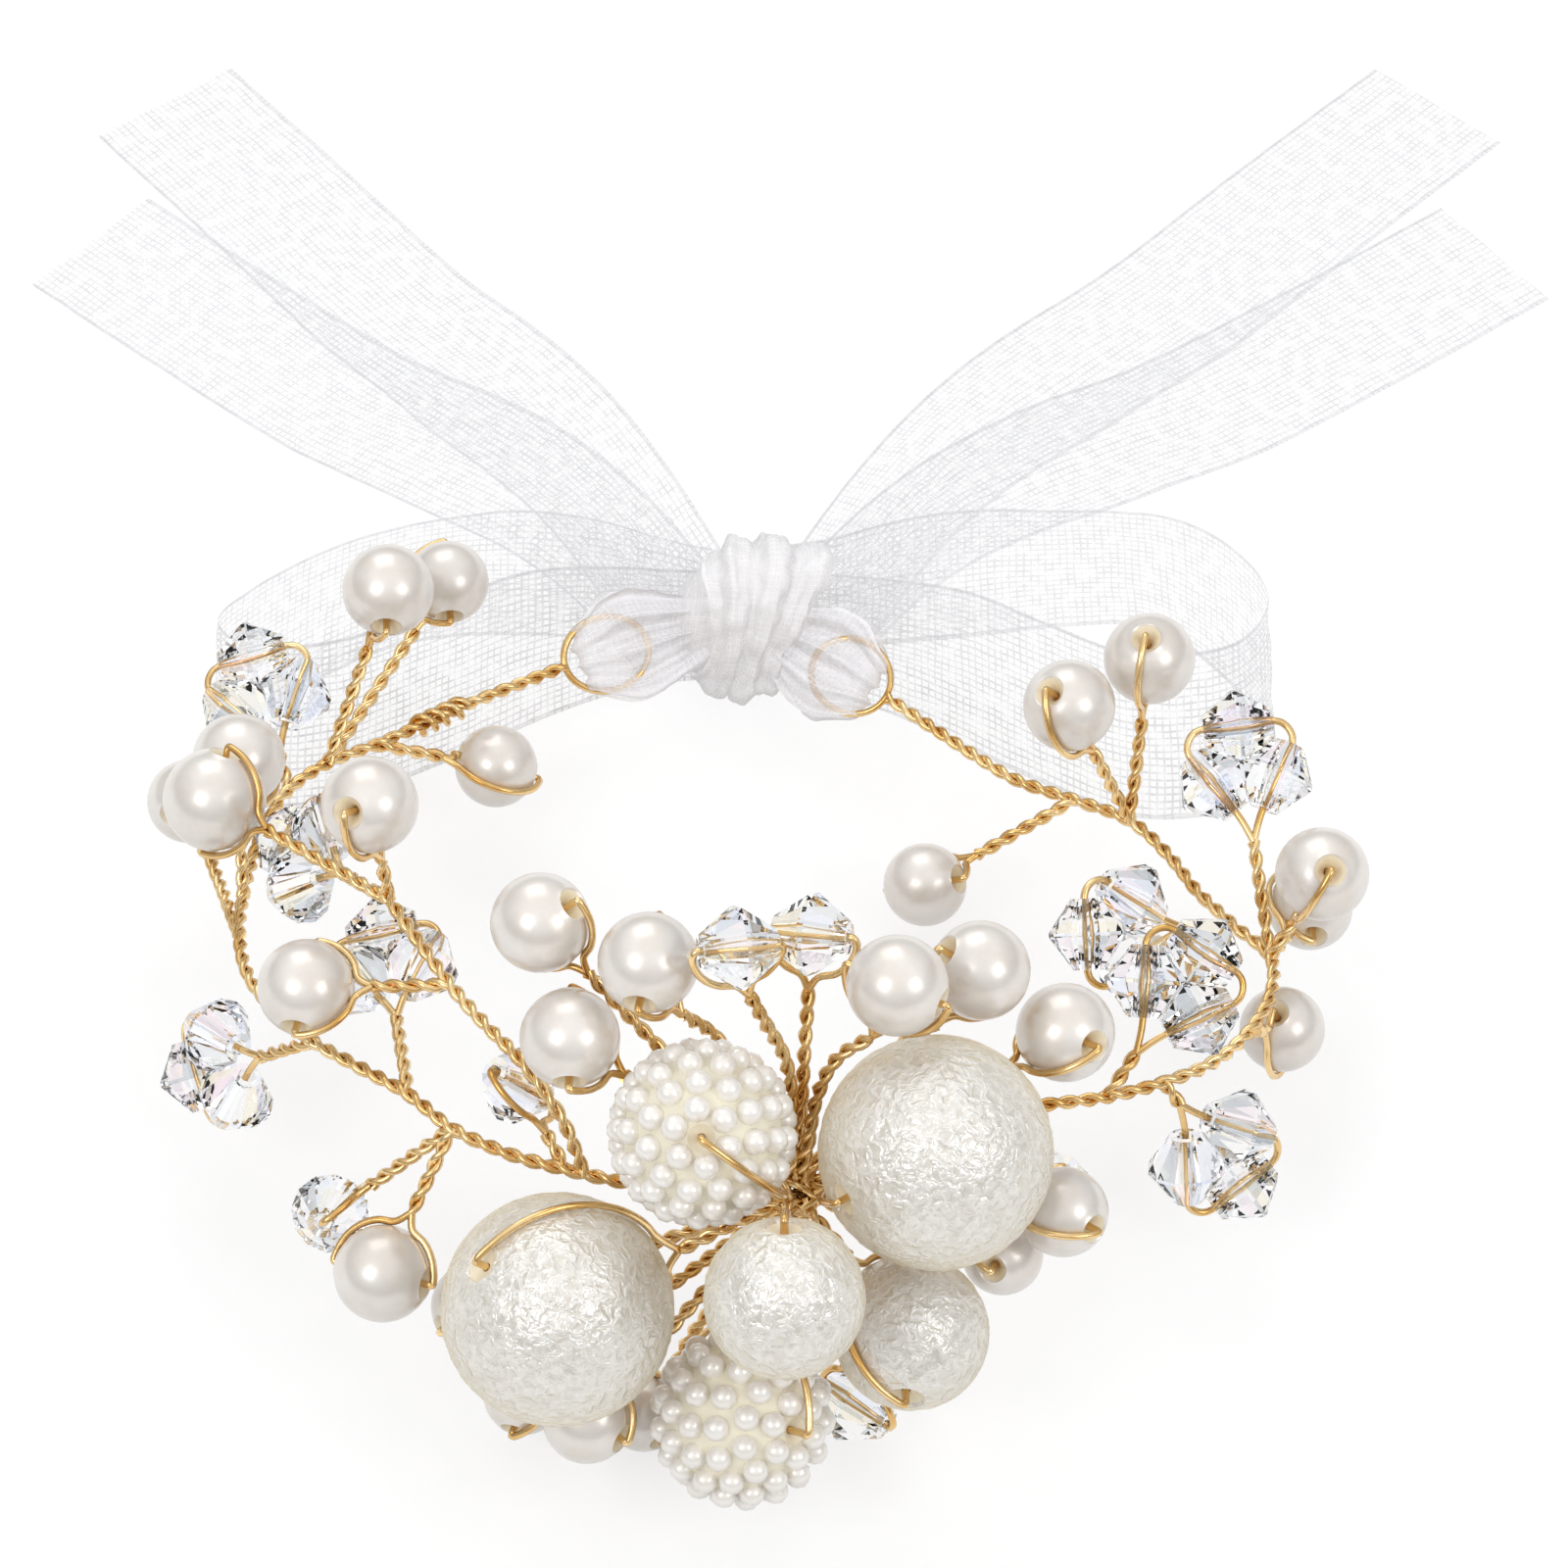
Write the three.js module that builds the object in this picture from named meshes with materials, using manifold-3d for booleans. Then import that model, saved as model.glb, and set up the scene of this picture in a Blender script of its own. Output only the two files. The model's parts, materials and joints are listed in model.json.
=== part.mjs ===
// Wrist corsage: a gold wire vine bent into a wrist ring, with pearls and crystals on sprigs, tied by a ribbon bow.
// Millimetres, +Z up. The vine's ring lies over the table, its front propped up by the beads below it.
import * as THREE from "three";
import { mergeVertices } from "three/addons/utils/BufferGeometryUtils.js";
import Module from "manifold-3d";

// Wrist ring: the vine's oval in plan and the height of its middle, its tilt up to the front and its roll to the left
const RING_WIDTH = 66;
const RING_DEPTH = 57;
const RING_HEIGHT = 12;
const RING_TILT_RISE = 7;
const RING_ROLL_RISE = 2;

// Wire: one strand, the twisted pair that stalks and stems are made of, and the eye that the ribbon goes through
const WIRE_D = 0.5;
const TWIST_D = 0.95;
const STEM_D = 1.1;
const HUB_D = 4;
const EYE_LENGTH = 6;
const EYE_WIDTH = 5;
const NECK_LENGTH = 0.9;

// Beads
const PEARL_D = 6;
const BIG_PEARL_D = 6.5;
const MEDIUM_PEARL_D = 5.5;
const SMALL_PEARL_D = 5;
const LARGE_BEAD_D = 14;
const MIDDLE_BEAD_D = 9.5;
const BERRY_D = 11.5;
const CRYSTAL_D = 5;
const CRYSTAL_LENGTH = 4.6;
const CRYSTAL_RIM_D = 2;
const BORE_D = 1.2;
const CRYSTAL_BITE = 0.15;

// Ribbon: its width, the width it is gathered to at the knot, the knot, the bow loops and the hitches round the eyes
const RIBBON_WIDTH = 12;
const RIBBON_THICKNESS = 0.5;
const GATHER_WIDTH = 7;
const PLEAT_DEPTH = 0.7;
const KNOT_WIDTH = 12;
const KNOT_DEPTH = 10;
const KNOT_HEIGHT = 12;
const KNOT_FOLD = 0.05;
const KNOT_SET_BACK = 30;
const KNOT_OFFSET = -1.5;
const LOOP_REACH = 36;
const LOOP_RISE = 8.3;
const LOOP_FAN = 9;
const TAIL_CREST = 0.78;
const HITCH_WIDTH = 3;
const HITCH_THICKNESS = 0.9;
const HITCH_TURN = 0.65;
const HITCH_GRIP = 1;

// Tails: bearing in plan, length from the knot's middle, and whether the tail lies over its neighbour
const TAILS = [
  { name: "ribbon_tail_left_upper", bearing: 128, length: 71, over: true },
  { name: "ribbon_tail_left_lower", bearing: 139, length: 64, over: false },
  { name: "ribbon_tail_right_upper", bearing: 47, length: 76, over: true },
  { name: "ribbon_tail_right_lower", bearing: 36.5, length: 68.5, over: false },
];

// Clearances: between touching pieces, between beads so that a wire passes, and between a bead and a stem
const CLEARANCE = 0.3;
const BEAD_GAP = WIRE_D + 2 * CLEARANCE;
const STEM_GAP = WIRE_D + 3 * CLEARANCE;
const LAYER_GAP = RIBBON_THICKNESS + 2 * PLEAT_DEPTH + CLEARANCE;

// Mesh fineness
const PEARL_SEGMENTS = 10;
const PEARL_ARCS = 5;
const FEATURE_SEGMENTS = 12;
const FEATURE_ARCS = 8;
const CRYSTAL_FACETS = 8;
const LOOP_SIDES = 4;
const STALK_SIDES = 4;
const STEM_SIDES = 5;
const STALK_STEP = 3.2;
const STEM_STEP = 4;
const LOOP_SAG = 0.18;
const HUB_SEGMENTS = 8;
const KNOT_SEGMENTS = 16;
const KNOT_FOLDS = 6;
const TAIL_STEPS = 9;
const LOOP_STEPS = 16;
const HITCH_STEPS = 10;
const EYE_STEPS = 10;
const PLEATS = 1.5;
const PLEAT_SEGMENTS = 6;

// Rounds and rate of the passes that clear beads and stalks of each other
const SETTLE_ROUNDS = 200;
const ROUTE_ROUNDS = 60;
const ROUTE_SMOOTHING = 0.25;

// Stems, as [angle round the ring, stand-off from it, rise above it]: 0 is right, 90 the back, 270 the front
const LEFT_STEM = [
  [115, -1, 0],
  [130, -2, 0],
  [142, -2, 0],
  [157, 0, 0],
  [174, 0, 0],
  [197, 1, 0],
  [214, 0, 0],
  [225, -1, 0],
  [237, 0, 0],
  [247, 0, 0],
  [256, 0, 0],
];
const FRONT_STEM = [
  [257.5, 0, 0],
  [270, 0, 0],
  [281.5, -1.5, 0],
];
const RIGHT_STEM = [
  [283.4, -1.9, 0],
  [298, -4.5, 0],
  [319, -2, 0],
  [333, 0, 0],
  [351, 0, 0],
  [364, -4, 0],
  [386, -6, 1],
  [405, -9, 2],
  [422, -7.5, 2],
  [433, -5, 1.5],
];
const HUB_ANGLE = 270;
const BRANCH_FORK = 0.7;
const UPPER_BRANCH = [
  [251, 0, 0],
  [246, -1.5, 5],
  [228, -5.5, 5.5],
  [205, -7.5, 6.5],
];

// Threaded beads: place as above, bore as [bearing, slope] in degrees, and the place on the wire that the stalk grows from
const THREADED = [
  { name: "pearl_left_1", d: PEARL_D, at: [138, 0, 12], bore: [270, -10], wire: "left", root: 149 },
  { name: "pearl_left_2", d: MEDIUM_PEARL_D, at: [126.5, 2.5, 7.5], bore: [275, -15], wire: "left", root: 149 },
  { name: "pearl_left_3", d: MEDIUM_PEARL_D, at: [132, -6, -2], bore: [175, 20], wire: "left", root: 142 },
  { name: "pearl_left_4", d: BIG_PEARL_D, at: [179.5, 1.5, 8], bore: [65, 50], wire: "left", root: "upper" },
  { name: "pearl_left_5", d: PEARL_D, at: [165, 2, 4.5], bore: [250, 10], wire: "left", root: 186 },
  { name: "pearl_left_6", d: MEDIUM_PEARL_D, at: [163, 6.5, -2], bore: [250, 30], wire: "left", root: 190 },
  { name: "pearl_left_7", d: PEARL_D, at: [199.5, -7.5, 14], bore: [240, 35], wire: "left", root: "upper" },
  { name: "pearl_left_8", d: PEARL_D, at: [212, 0, 5], bore: [260, -10], wire: "left", root: "upper_middle" },
  { name: "pearl_left_9", d: PEARL_D, at: [235, 7, -7], bore: [340, 5], wire: "left", root: 237 },
  { name: "pearl_front_1", d: PEARL_D, at: [240.5, -6.5, 14], bore: [355, 45], wire: "front" },
  { name: "pearl_front_2", d: PEARL_D, at: [248, -2.5, 10.5], bore: [270, -15], wire: "front" },
  { name: "pearl_front_3", d: PEARL_D, at: [256.5, -5, 15.5], bore: [260, -10], wire: "front" },
  { name: "pearl_front_4", d: PEARL_D, at: [285, -2.5, 16.5], bore: [335, -5], wire: "front" },
  { name: "pearl_front_5", d: PEARL_D, at: [299, -5.5, 13], bore: [180, 40], wire: "front" },
  { name: "pearl_front_6", d: PEARL_D, at: [306, -2.5, 9.5], bore: [310, 25], wire: "front" },
  { name: "pearl_front_7", d: MEDIUM_PEARL_D, at: [299, 4, 0], bore: [315, 15], wire: "front" },
  { name: "pearl_front_8", d: SMALL_PEARL_D, at: [294, 2.5, -5], bore: [250, 30], wire: "front" },
  { name: "pearl_front_9", d: MEDIUM_PEARL_D, at: [256, 8, -12.5], bore: [325, 0], wire: "front" },
  { name: "pearl_front_10", d: SMALL_PEARL_D, at: [248.5, 6.5, -15], bore: [255, -15], wire: "front" },
  { name: "pearl_front_11", d: MEDIUM_PEARL_D, at: [241.5, 4.5, -11], bore: [225, 5], wire: "front" },
  { name: "pearl_front_12", d: SMALL_PEARL_D, at: [258.5, 5.5, -16.5], bore: [300, -5], wire: "front" },
  { name: "pearl_right_1", d: MEDIUM_PEARL_D, at: [45, -18, -1], bore: [345, 30], wire: "right", root: 405 },
  { name: "pearl_right_2", d: PEARL_D, at: [36, -8.5, 11.5], bore: [210, 55], wire: "right", root: 386 },
  { name: "pearl_right_3", d: PEARL_D, at: [37, -1.5, 11], bore: [240, 75], wire: "right", root: 386 },
  { name: "pearl_right_4", d: PEARL_D, at: [357, 2.5, 6.5], bore: [280, 55], wire: "right", root: 351 },
  { name: "pearl_right_5", d: MEDIUM_PEARL_D, at: [3.5, 2.5, -0.5], bore: [270, 5], wire: "right", root: 354 },
  { name: "pearl_right_6", d: MEDIUM_PEARL_D, at: [346.5, 1, -3.5], bore: [220, 70], wire: "right", root: 340 },
  { name: "crinkle_bead_large_left", d: LARGE_BEAD_D, at: [253, 7, -2], bore: [185, 50], wire: "front" },
  { name: "crinkle_bead_large_right", d: LARGE_BEAD_D, at: [286.5, 2.5, 8], bore: [215, 5], wire: "front" },
  { name: "crinkle_bead_middle_upper", d: MIDDLE_BEAD_D, at: [271.5, 11.5, 6.5], bore: [90, 60], wire: "front" },
  { name: "crinkle_bead_middle_lower", d: MIDDLE_BEAD_D, at: [283, 6, -6], bore: [265, -5], wire: "front" },
  { name: "berry_bead_upper", d: BERRY_D, at: [264, 2, 8], bore: [270, 50], wire: "front" },
  { name: "berry_bead_lower", d: BERRY_D, at: [268, 8, -11], bore: [320, 30], wire: "front" },
  { name: "crystal_left_1", crystal: true, at: [225.5, 5, -7.5], bore: [260, 40], wire: "left", root: 237 },
  { name: "crystal_left_2", crystal: true, at: [239, -3, 1], bore: [195, 50], wire: "left", root: 247 },
  { name: "crystal_front_1", crystal: true, at: [267, -4, 19], bore: [195, 10], wire: "front" },
  { name: "crystal_front_2", crystal: true, at: [277, -7.5, 16], bore: [345, 10], wire: "front" },
  { name: "crystal_front_3", crystal: true, at: [304, -1, -4.5], bore: [330, 75], wire: "front" },
  { name: "crystal_front_4", crystal: true, at: [278.5, 5, -15], bore: [320, 0], wire: "front" },
];

// Trefoils of three crystals strung on one loop of wire
const TREFOILS = [
  { name: "crystal_trefoil_left_1", at: [149.5, 5.5, 3], wire: "left", root: 157 },
  { name: "crystal_trefoil_left_2", at: [181, -3, 2.5], wire: "left", root: "upper" },
  { name: "crystal_trefoil_left_3", at: [203, -7, 0.5], wire: "left", root: 225 },
  { name: "crystal_trefoil_left_4", at: [200.5, 4, -7], wire: "left", root: 214 },
  { name: "crystal_trefoil_right_1", at: [15.5, -1, 9], wire: "right", root: 358 },
  { name: "crystal_trefoil_right_2", at: [349, -10, 2], wire: "right", root: 364 },
  { name: "crystal_trefoil_right_3", at: [330, -3, 6], wire: "right", root: 312 },
  { name: "crystal_trefoil_right_4", at: [324, 2.5, -5.5], wire: "right", root: 319 },
];

const GOLD = { color: 0xd9a441, roughness: 0.25, metalness: 1 };
const PEARL = { color: 0xf4efe6, roughness: 0.2, metalness: 0.1 };
const CRINKLE = { color: 0xf1ecdc, roughness: 0.35, metalness: 0.15 };
const GLASS = { color: 0xe9eef2, roughness: 0.03, metalness: 0, transparent: true, opacity: 0.55 };
const ORGANZA = { color: 0xf8f7fb, roughness: 0.8, metalness: 0, transparent: true, opacity: 0.6 };

const wasm = await Module();
wasm.setup();

const WORLD_UP = new THREE.Vector3(0, 0, 1);
const VIEW_FACE = new THREE.Vector3(0, -0.64, 0.77).normalize();

// A closed three.js geometry as a manifold solid
function solidOf(geometry) {
  const bare = new THREE.BufferGeometry();
  bare.setAttribute("position", geometry.getAttribute("position").clone());
  bare.setIndex(geometry.getIndex());
  const merged = mergeVertices(bare, 1e-4);
  const vertProperties = merged.getAttribute("position").array;
  const triVerts = new Uint32Array(merged.getIndex().array);
  return new wasm.Manifold(new wasm.Mesh({ numProp: 3, vertProperties, triVerts }));
}

function geometryOf(solid) {
  const mesh = solid.getMesh();
  const geometry = new THREE.BufferGeometry();
  geometry.setAttribute("position", new THREE.BufferAttribute(mesh.vertProperties, 3));
  geometry.setIndex(new THREE.BufferAttribute(mesh.triVerts, 1));
  return geometry;
}

const joinAll = (solids) => solids.reduce((whole, piece) => whole.add(piece));

// Wires that cross close to each other shut in tiny voids, which are left out of the joined solid
const withoutVoids = (solid) => joinAll(solid.decompose().filter((piece) => piece.volume() > 0));

function namedMesh(name, geometry, look) {
  const mesh = new THREE.Mesh(geometry, new THREE.MeshStandardMaterial(look));
  mesh.name = name;
  return mesh;
}

// A unit direction from its bearing in plan and its slope, in degrees
function bearing([turn, slope]) {
  const plan = THREE.MathUtils.degToRad(turn);
  const lift = THREE.MathUtils.degToRad(slope);
  return new THREE.Vector3(Math.cos(lift) * Math.cos(plan), Math.cos(lift) * Math.sin(plan), Math.sin(lift));
}

// A point beside the ring: the angle round it, the stand-off outwards and the rise above its tilted plane
function beside([angle, out, rise]) {
  const turn = THREE.MathUtils.degToRad(angle);
  const height = RING_HEIGHT - RING_TILT_RISE * Math.sin(turn) - RING_ROLL_RISE * Math.cos(turn);
  return new THREE.Vector3(
    (RING_WIDTH / 2 + out) * Math.cos(turn),
    (RING_DEPTH / 2 + out) * Math.sin(turn),
    height + rise,
  );
}

// A curve sampled at its own points, so that a tube keeps each bend where it was put
class PointPath extends THREE.Curve {
  constructor(points) {
    super();
    this.points = points;
    this.smooth = new THREE.CatmullRomCurve3(points, false, "centripetal");
  }
  getPoint(t, target = new THREE.Vector3()) {
    return this.smooth.getPoint(t, target);
  }
  getPointAt(u, target) {
    return this.getPoint(u, target);
  }
  getTangentAt(u, target) {
    return this.getTangent(u, target);
  }
}

function polygon(diameter, sides) {
  const corners = [];
  for (let i = 0; i < sides; i++) {
    const turn = (2 * Math.PI * i) / sides;
    corners.push(new THREE.Vector2(Math.cos(turn), Math.sin(turn)).multiplyScalar(diameter / 2));
  }
  return new THREE.Shape(corners);
}

function tube(points, diameter, sides) {
  const options = { extrudePath: new PointPath(points), steps: points.length - 1, bevelEnabled: false };
  return solidOf(new THREE.ExtrudeGeometry(polygon(diameter, sides), options));
}

// Even points along a smooth curve, about one step apart
function evenPoints(controls, step) {
  const curve = new THREE.CatmullRomCurve3(controls, false, "centripetal");
  return curve.getSpacedPoints(Math.max(2, Math.round(curve.getLength() / step)));
}

// Beads

function pearlGeometry(diameter, segments, arcs) {
  const radius = diameter / 2;
  const edge = Math.asin(BORE_D / diameter);
  const profile = [];
  for (let i = 0; i <= arcs; i++) {
    const turn = edge + ((Math.PI - 2 * edge) * i) / arcs;
    profile.push(new THREE.Vector2(radius * Math.sin(turn), -radius * Math.cos(turn)));
  }
  profile.push(profile[0].clone());
  return new THREE.LatheGeometry(profile, segments);
}

function crystalGeometry() {
  const half = CRYSTAL_LENGTH / 2;
  const profile = [
    [BORE_D / 2, -half],
    [CRYSTAL_RIM_D / 2, -half],
    [CRYSTAL_D / 2, 0],
    [CRYSTAL_RIM_D / 2, half],
    [BORE_D / 2, half],
    [BORE_D / 2, -half],
  ];
  return new THREE.LatheGeometry(profile.map(([x, y]) => new THREE.Vector2(x, y)), CRYSTAL_FACETS);
}

const TREFOIL_SIDE = 2 * Math.sqrt(3) * (CRYSTAL_D / 2 - CRYSTAL_BITE);

// The frame of a trefoil: its neck corner and its two far corners, in a plane that faces the viewer
function trefoilCorners(centre, root) {
  const toNeck = root.clone().sub(centre).normalize();
  const face = VIEW_FACE.clone().addScaledVector(toNeck, -VIEW_FACE.dot(toNeck)).normalize();
  const reach = TREFOIL_SIDE / Math.sqrt(3);
  return [0, 1, 2].map((corner) =>
    toNeck.clone().applyAxisAngle(face, (corner * 2 * Math.PI) / 3).multiplyScalar(reach).add(centre),
  );
}

function trefoilSolid(corners) {
  const centre = corners[0].clone().add(corners[1]).add(corners[2]).divideScalar(3);
  const pieces = corners.map((corner, i) => {
    const next = corners[(i + 1) % 3];
    const middle = corner.clone().add(next).divideScalar(2);
    const along = next.clone().sub(corner).normalize();
    const inward = centre.clone().sub(middle).normalize();
    const frame = new THREE.Matrix4().makeBasis(new THREE.Vector3().crossVectors(along, inward), along, inward);
    return solidOf(crystalGeometry().applyMatrix4(frame.setPosition(middle)));
  });
  return joinAll(pieces);
}

// Beads that would touch each other, a stem or the table are moved apart until every gap is open
function settle(bodies, stems) {
  for (let round = 0; round < SETTLE_ROUNDS; round++) {
    bodies.forEach((body, i) => {
      for (const other of bodies.slice(i + 1)) {
        for (const a of body.balls) {
          for (const b of other.balls) {
            const apart = a.centre.clone().sub(b.centre);
            const lack = a.radius + b.radius + BEAD_GAP - apart.length();
            if (lack <= 0) continue;
            const push = apart.setLength(lack / 2);
            move(body, push);
            move(other, push.negate());
          }
        }
      }
      for (const ball of body.balls) {
        for (const point of stems) {
          const apart = ball.centre.clone().sub(point);
          const lack = ball.radius + STEM_D / 2 + STEM_GAP - apart.length();
          if (lack > 0) move(body, apart.setLength(lack));
        }
        const sink = ball.radius - ball.centre.z;
        if (sink > 0) move(body, new THREE.Vector3(0, 0, sink));
      }
    });
  }
}

function move(body, push) {
  body.centre.add(push);
  for (const ball of body.balls) if (ball.centre !== body.centre) ball.centre.add(push);
}

// Wires

// A stalk from its root to a bead's neck, bent clear of every bead and of the wires of the other nodes
function route(start, end, obstacles) {
  const points = [];
  const steps = Math.max(2, Math.round(start.distanceTo(end) / STALK_STEP));
  for (let i = 0; i <= steps; i++) points.push(start.clone().lerp(end, i / steps));
  for (let round = 0; round < ROUTE_ROUNDS; round++) {
    for (let i = 1; i < steps; i++) {
      const middle = points[i - 1].clone().add(points[i + 1]).divideScalar(2);
      points[i].lerp(middle, ROUTE_SMOOTHING);
      for (const { centre, radius } of obstacles) {
        const apart = points[i].clone().sub(centre);
        const reach = radius + TWIST_D / 2 + 2 * CLEARANCE;
        if (apart.length() < reach) points[i].copy(centre).add(apart.setLength(reach));
      }
    }
  }
  return points;
}

// Points on an arc round a centre, so close together that the wire between them stays off the bead
function arcPoints(centre, from, to, radius) {
  const angle = from.angleTo(to);
  const axis = from.clone().cross(to).normalize();
  const steps = Math.ceil(angle / (2 * Math.acos(1 - LOOP_SAG / radius)));
  const points = [];
  for (let i = 1; i < steps; i++) {
    points.push(from.clone().applyAxisAngle(axis, (angle * i) / steps).multiplyScalar(radius).add(centre));
  }
  return points;
}

// The thin wire of one bead: from its neck round the bead, through the bore and back to the neck
function beadLoop(centre, radius, length, neckway, bore, neck) {
  const hug = radius + CLEARANCE + WIRE_D / 2;
  const half = (mouthway) => {
    const mouth = centre.clone().addScaledVector(mouthway, length / 2 + CLEARANCE);
    return [...arcPoints(centre, neckway, mouthway, hug), mouth];
  };
  const there = half(bore);
  const back = half(bore.clone().negate()).reverse();
  return tube([neck, ...there, ...back, neck.clone()], WIRE_D, LOOP_SIDES);
}

// The thin wire of a trefoil, strung through the three crystals along the sides of the triangle
function trefoilLoop(corners) {
  const share = (TREFOIL_SIDE - CRYSTAL_LENGTH) / 4 / TREFOIL_SIDE;
  const points = [corners[0].clone()];
  corners.forEach((corner, i) => {
    const next = corners[(i + 1) % 3];
    points.push(corner.clone().lerp(next, share), corner.clone().lerp(next, 1 - share));
  });
  points.push(corners[0].clone());
  return tube(points, WIRE_D, LOOP_SIDES);
}

// The eye at a stem's end: an oval of wire that faces the viewer and points to the knot
function eyeFrame(end, knot) {
  const along = knot.clone().sub(end).setZ(0).normalize();
  const face = VIEW_FACE.clone().addScaledVector(along, -VIEW_FACE.dot(along)).normalize();
  const across = new THREE.Vector3().crossVectors(face, along);
  return { end, along, face, across, centre: end.clone().addScaledVector(along, EYE_LENGTH / 2) };
}

function eyeSolid({ end, along, across, centre }) {
  const points = [end.clone().addScaledVector(along, -WIRE_D)];
  for (let i = 0; i <= EYE_STEPS; i++) {
    const turn = (2 * Math.PI * i) / EYE_STEPS;
    points.push(
      centre
        .clone()
        .addScaledVector(along, (-Math.cos(turn) * EYE_LENGTH) / 2)
        .addScaledVector(across, (Math.sin(turn) * EYE_WIDTH) / 2),
    );
  }
  points.push(points[0].clone());
  return tube(points, WIRE_D, LOOP_SIDES);
}

// Ribbon

// A band of cloth along a curve: each station has its width direction, its width and the depth of its pleats
function band({ controls, steps, segments, thickness, side, widthAt, pleatAt }) {
  const curve = new THREE.CatmullRomCurve3(controls, false, "centripetal");
  const row = segments + 1;
  const corners = [];
  for (let i = 0; i <= steps; i++) {
    const u = i / steps;
    const middle = curve.getPointAt(u);
    const tangent = curve.getTangentAt(u);
    const normal = new THREE.Vector3().crossVectors(tangent, side).normalize();
    for (const face of [0.5, -0.5]) {
      for (let j = 0; j < row; j++) {
        const share = j / segments - 0.5;
        const fold = pleatAt(u) * Math.sin(2 * Math.PI * PLEATS * share);
        const point = middle.clone().addScaledVector(side, widthAt(u) * share);
        corners.push(...point.addScaledVector(normal, fold + face * thickness).toArray());
      }
    }
  }
  const faces = [];
  const quad = (a, b, c, d) => faces.push(a, b, c, a, c, d);
  const at = (i, layer, j) => (2 * i + layer) * row + j;
  for (let i = 0; i < steps; i++) {
    for (let j = 0; j < segments; j++) {
      quad(at(i, 0, j), at(i + 1, 0, j), at(i + 1, 0, j + 1), at(i, 0, j + 1));
      quad(at(i, 1, j), at(i, 1, j + 1), at(i + 1, 1, j + 1), at(i + 1, 1, j));
    }
    quad(at(i, 0, 0), at(i, 1, 0), at(i + 1, 1, 0), at(i + 1, 0, 0));
    quad(at(i, 0, row - 1), at(i + 1, 0, row - 1), at(i + 1, 1, row - 1), at(i, 1, row - 1));
  }
  for (let j = 0; j < segments; j++) {
    quad(at(0, 0, j), at(0, 0, j + 1), at(0, 1, j + 1), at(0, 1, j));
    quad(at(steps, 0, j), at(steps, 1, j), at(steps, 1, j + 1), at(steps, 0, j + 1));
  }
  const geometry = new THREE.BufferGeometry();
  geometry.setAttribute("position", new THREE.BufferAttribute(new Float32Array(corners), 3));
  geometry.setIndex(faces);
  return solidOf(geometry);
}

const ease = THREE.MathUtils.smoothstep;
const knotCentre = new THREE.Vector3(KNOT_OFFSET, KNOT_SET_BACK, KNOT_HEIGHT / 2);

// The knot's lump, with the creases that run round it, grown by a margin
function knotLump(margin) {
  const geometry = new THREE.SphereGeometry(1, KNOT_SEGMENTS, KNOT_SEGMENTS / 2);
  geometry.rotateX(Math.PI / 2);
  const places = geometry.getAttribute("position");
  for (let i = 0; i < places.count; i++) {
    const p = new THREE.Vector3().fromBufferAttribute(places, i);
    const crease = 1 + KNOT_FOLD * Math.cos(KNOT_FOLDS * Math.atan2(p.z, p.x)) * (1 - p.y * p.y);
    p.set(p.x * crease, p.y, p.z * crease);
    places.setXYZ(i, p.x, p.y, p.z);
  }
  geometry.scale(KNOT_WIDTH / 2 + margin, KNOT_DEPTH / 2 + margin, KNOT_HEIGHT / 2 + margin);
  geometry.translate(knotCentre.x, knotCentre.y, knotCentre.z);
  return solidOf(geometry);
}

const fromKnot = (x, y, z) => new THREE.Vector3(knotCentre.x + x, knotCentre.y + y, z);

// A tail runs out of the knot's top and comes down onto the table, flat and square at its end
function tailSolid({ bearing: turn, length, over }) {
  const way = bearing([turn, 0]);
  const side = new THREE.Vector3().crossVectors(WORLD_UP, way);
  const lift = TAIL_CREST * LOOP_RISE + LAYER_GAP;
  const rest = RIBBON_THICKNESS / 2;
  const step = over ? 1 : 0;
  const profile = [
    [0, knotCentre.z - LAYER_GAP / 2],
    [0.07, (knotCentre.z - LAYER_GAP / 2 + lift) / 2],
    [0.14, lift],
    [0.24, lift],
    [0.38, 0.6 * lift],
    [0.55, 0.28 * lift],
    [0.8, 0.08 * lift],
  ];
  const controls = profile.map(([share, z]) =>
    fromKnot(way.x * length * share, way.y * length * share, z + step * LAYER_GAP),
  );
  controls.push(fromKnot(way.x * length, way.y * length, rest + step * (RIBBON_THICKNESS + CLEARANCE)));
  const widthAt = (u) => GATHER_WIDTH + (RIBBON_WIDTH - GATHER_WIDTH) * ease(u, 0.15, 0.8);
  const pleatAt = (u) => PLEAT_DEPTH * (1 - ease(u, 0.1, 0.75));
  return band({
    controls,
    side,
    widthAt,
    pleatAt,
    steps: TAIL_STEPS,
    segments: PLEAT_SEGMENTS,
    thickness: RIBBON_THICKNESS,
  });
}

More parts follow.
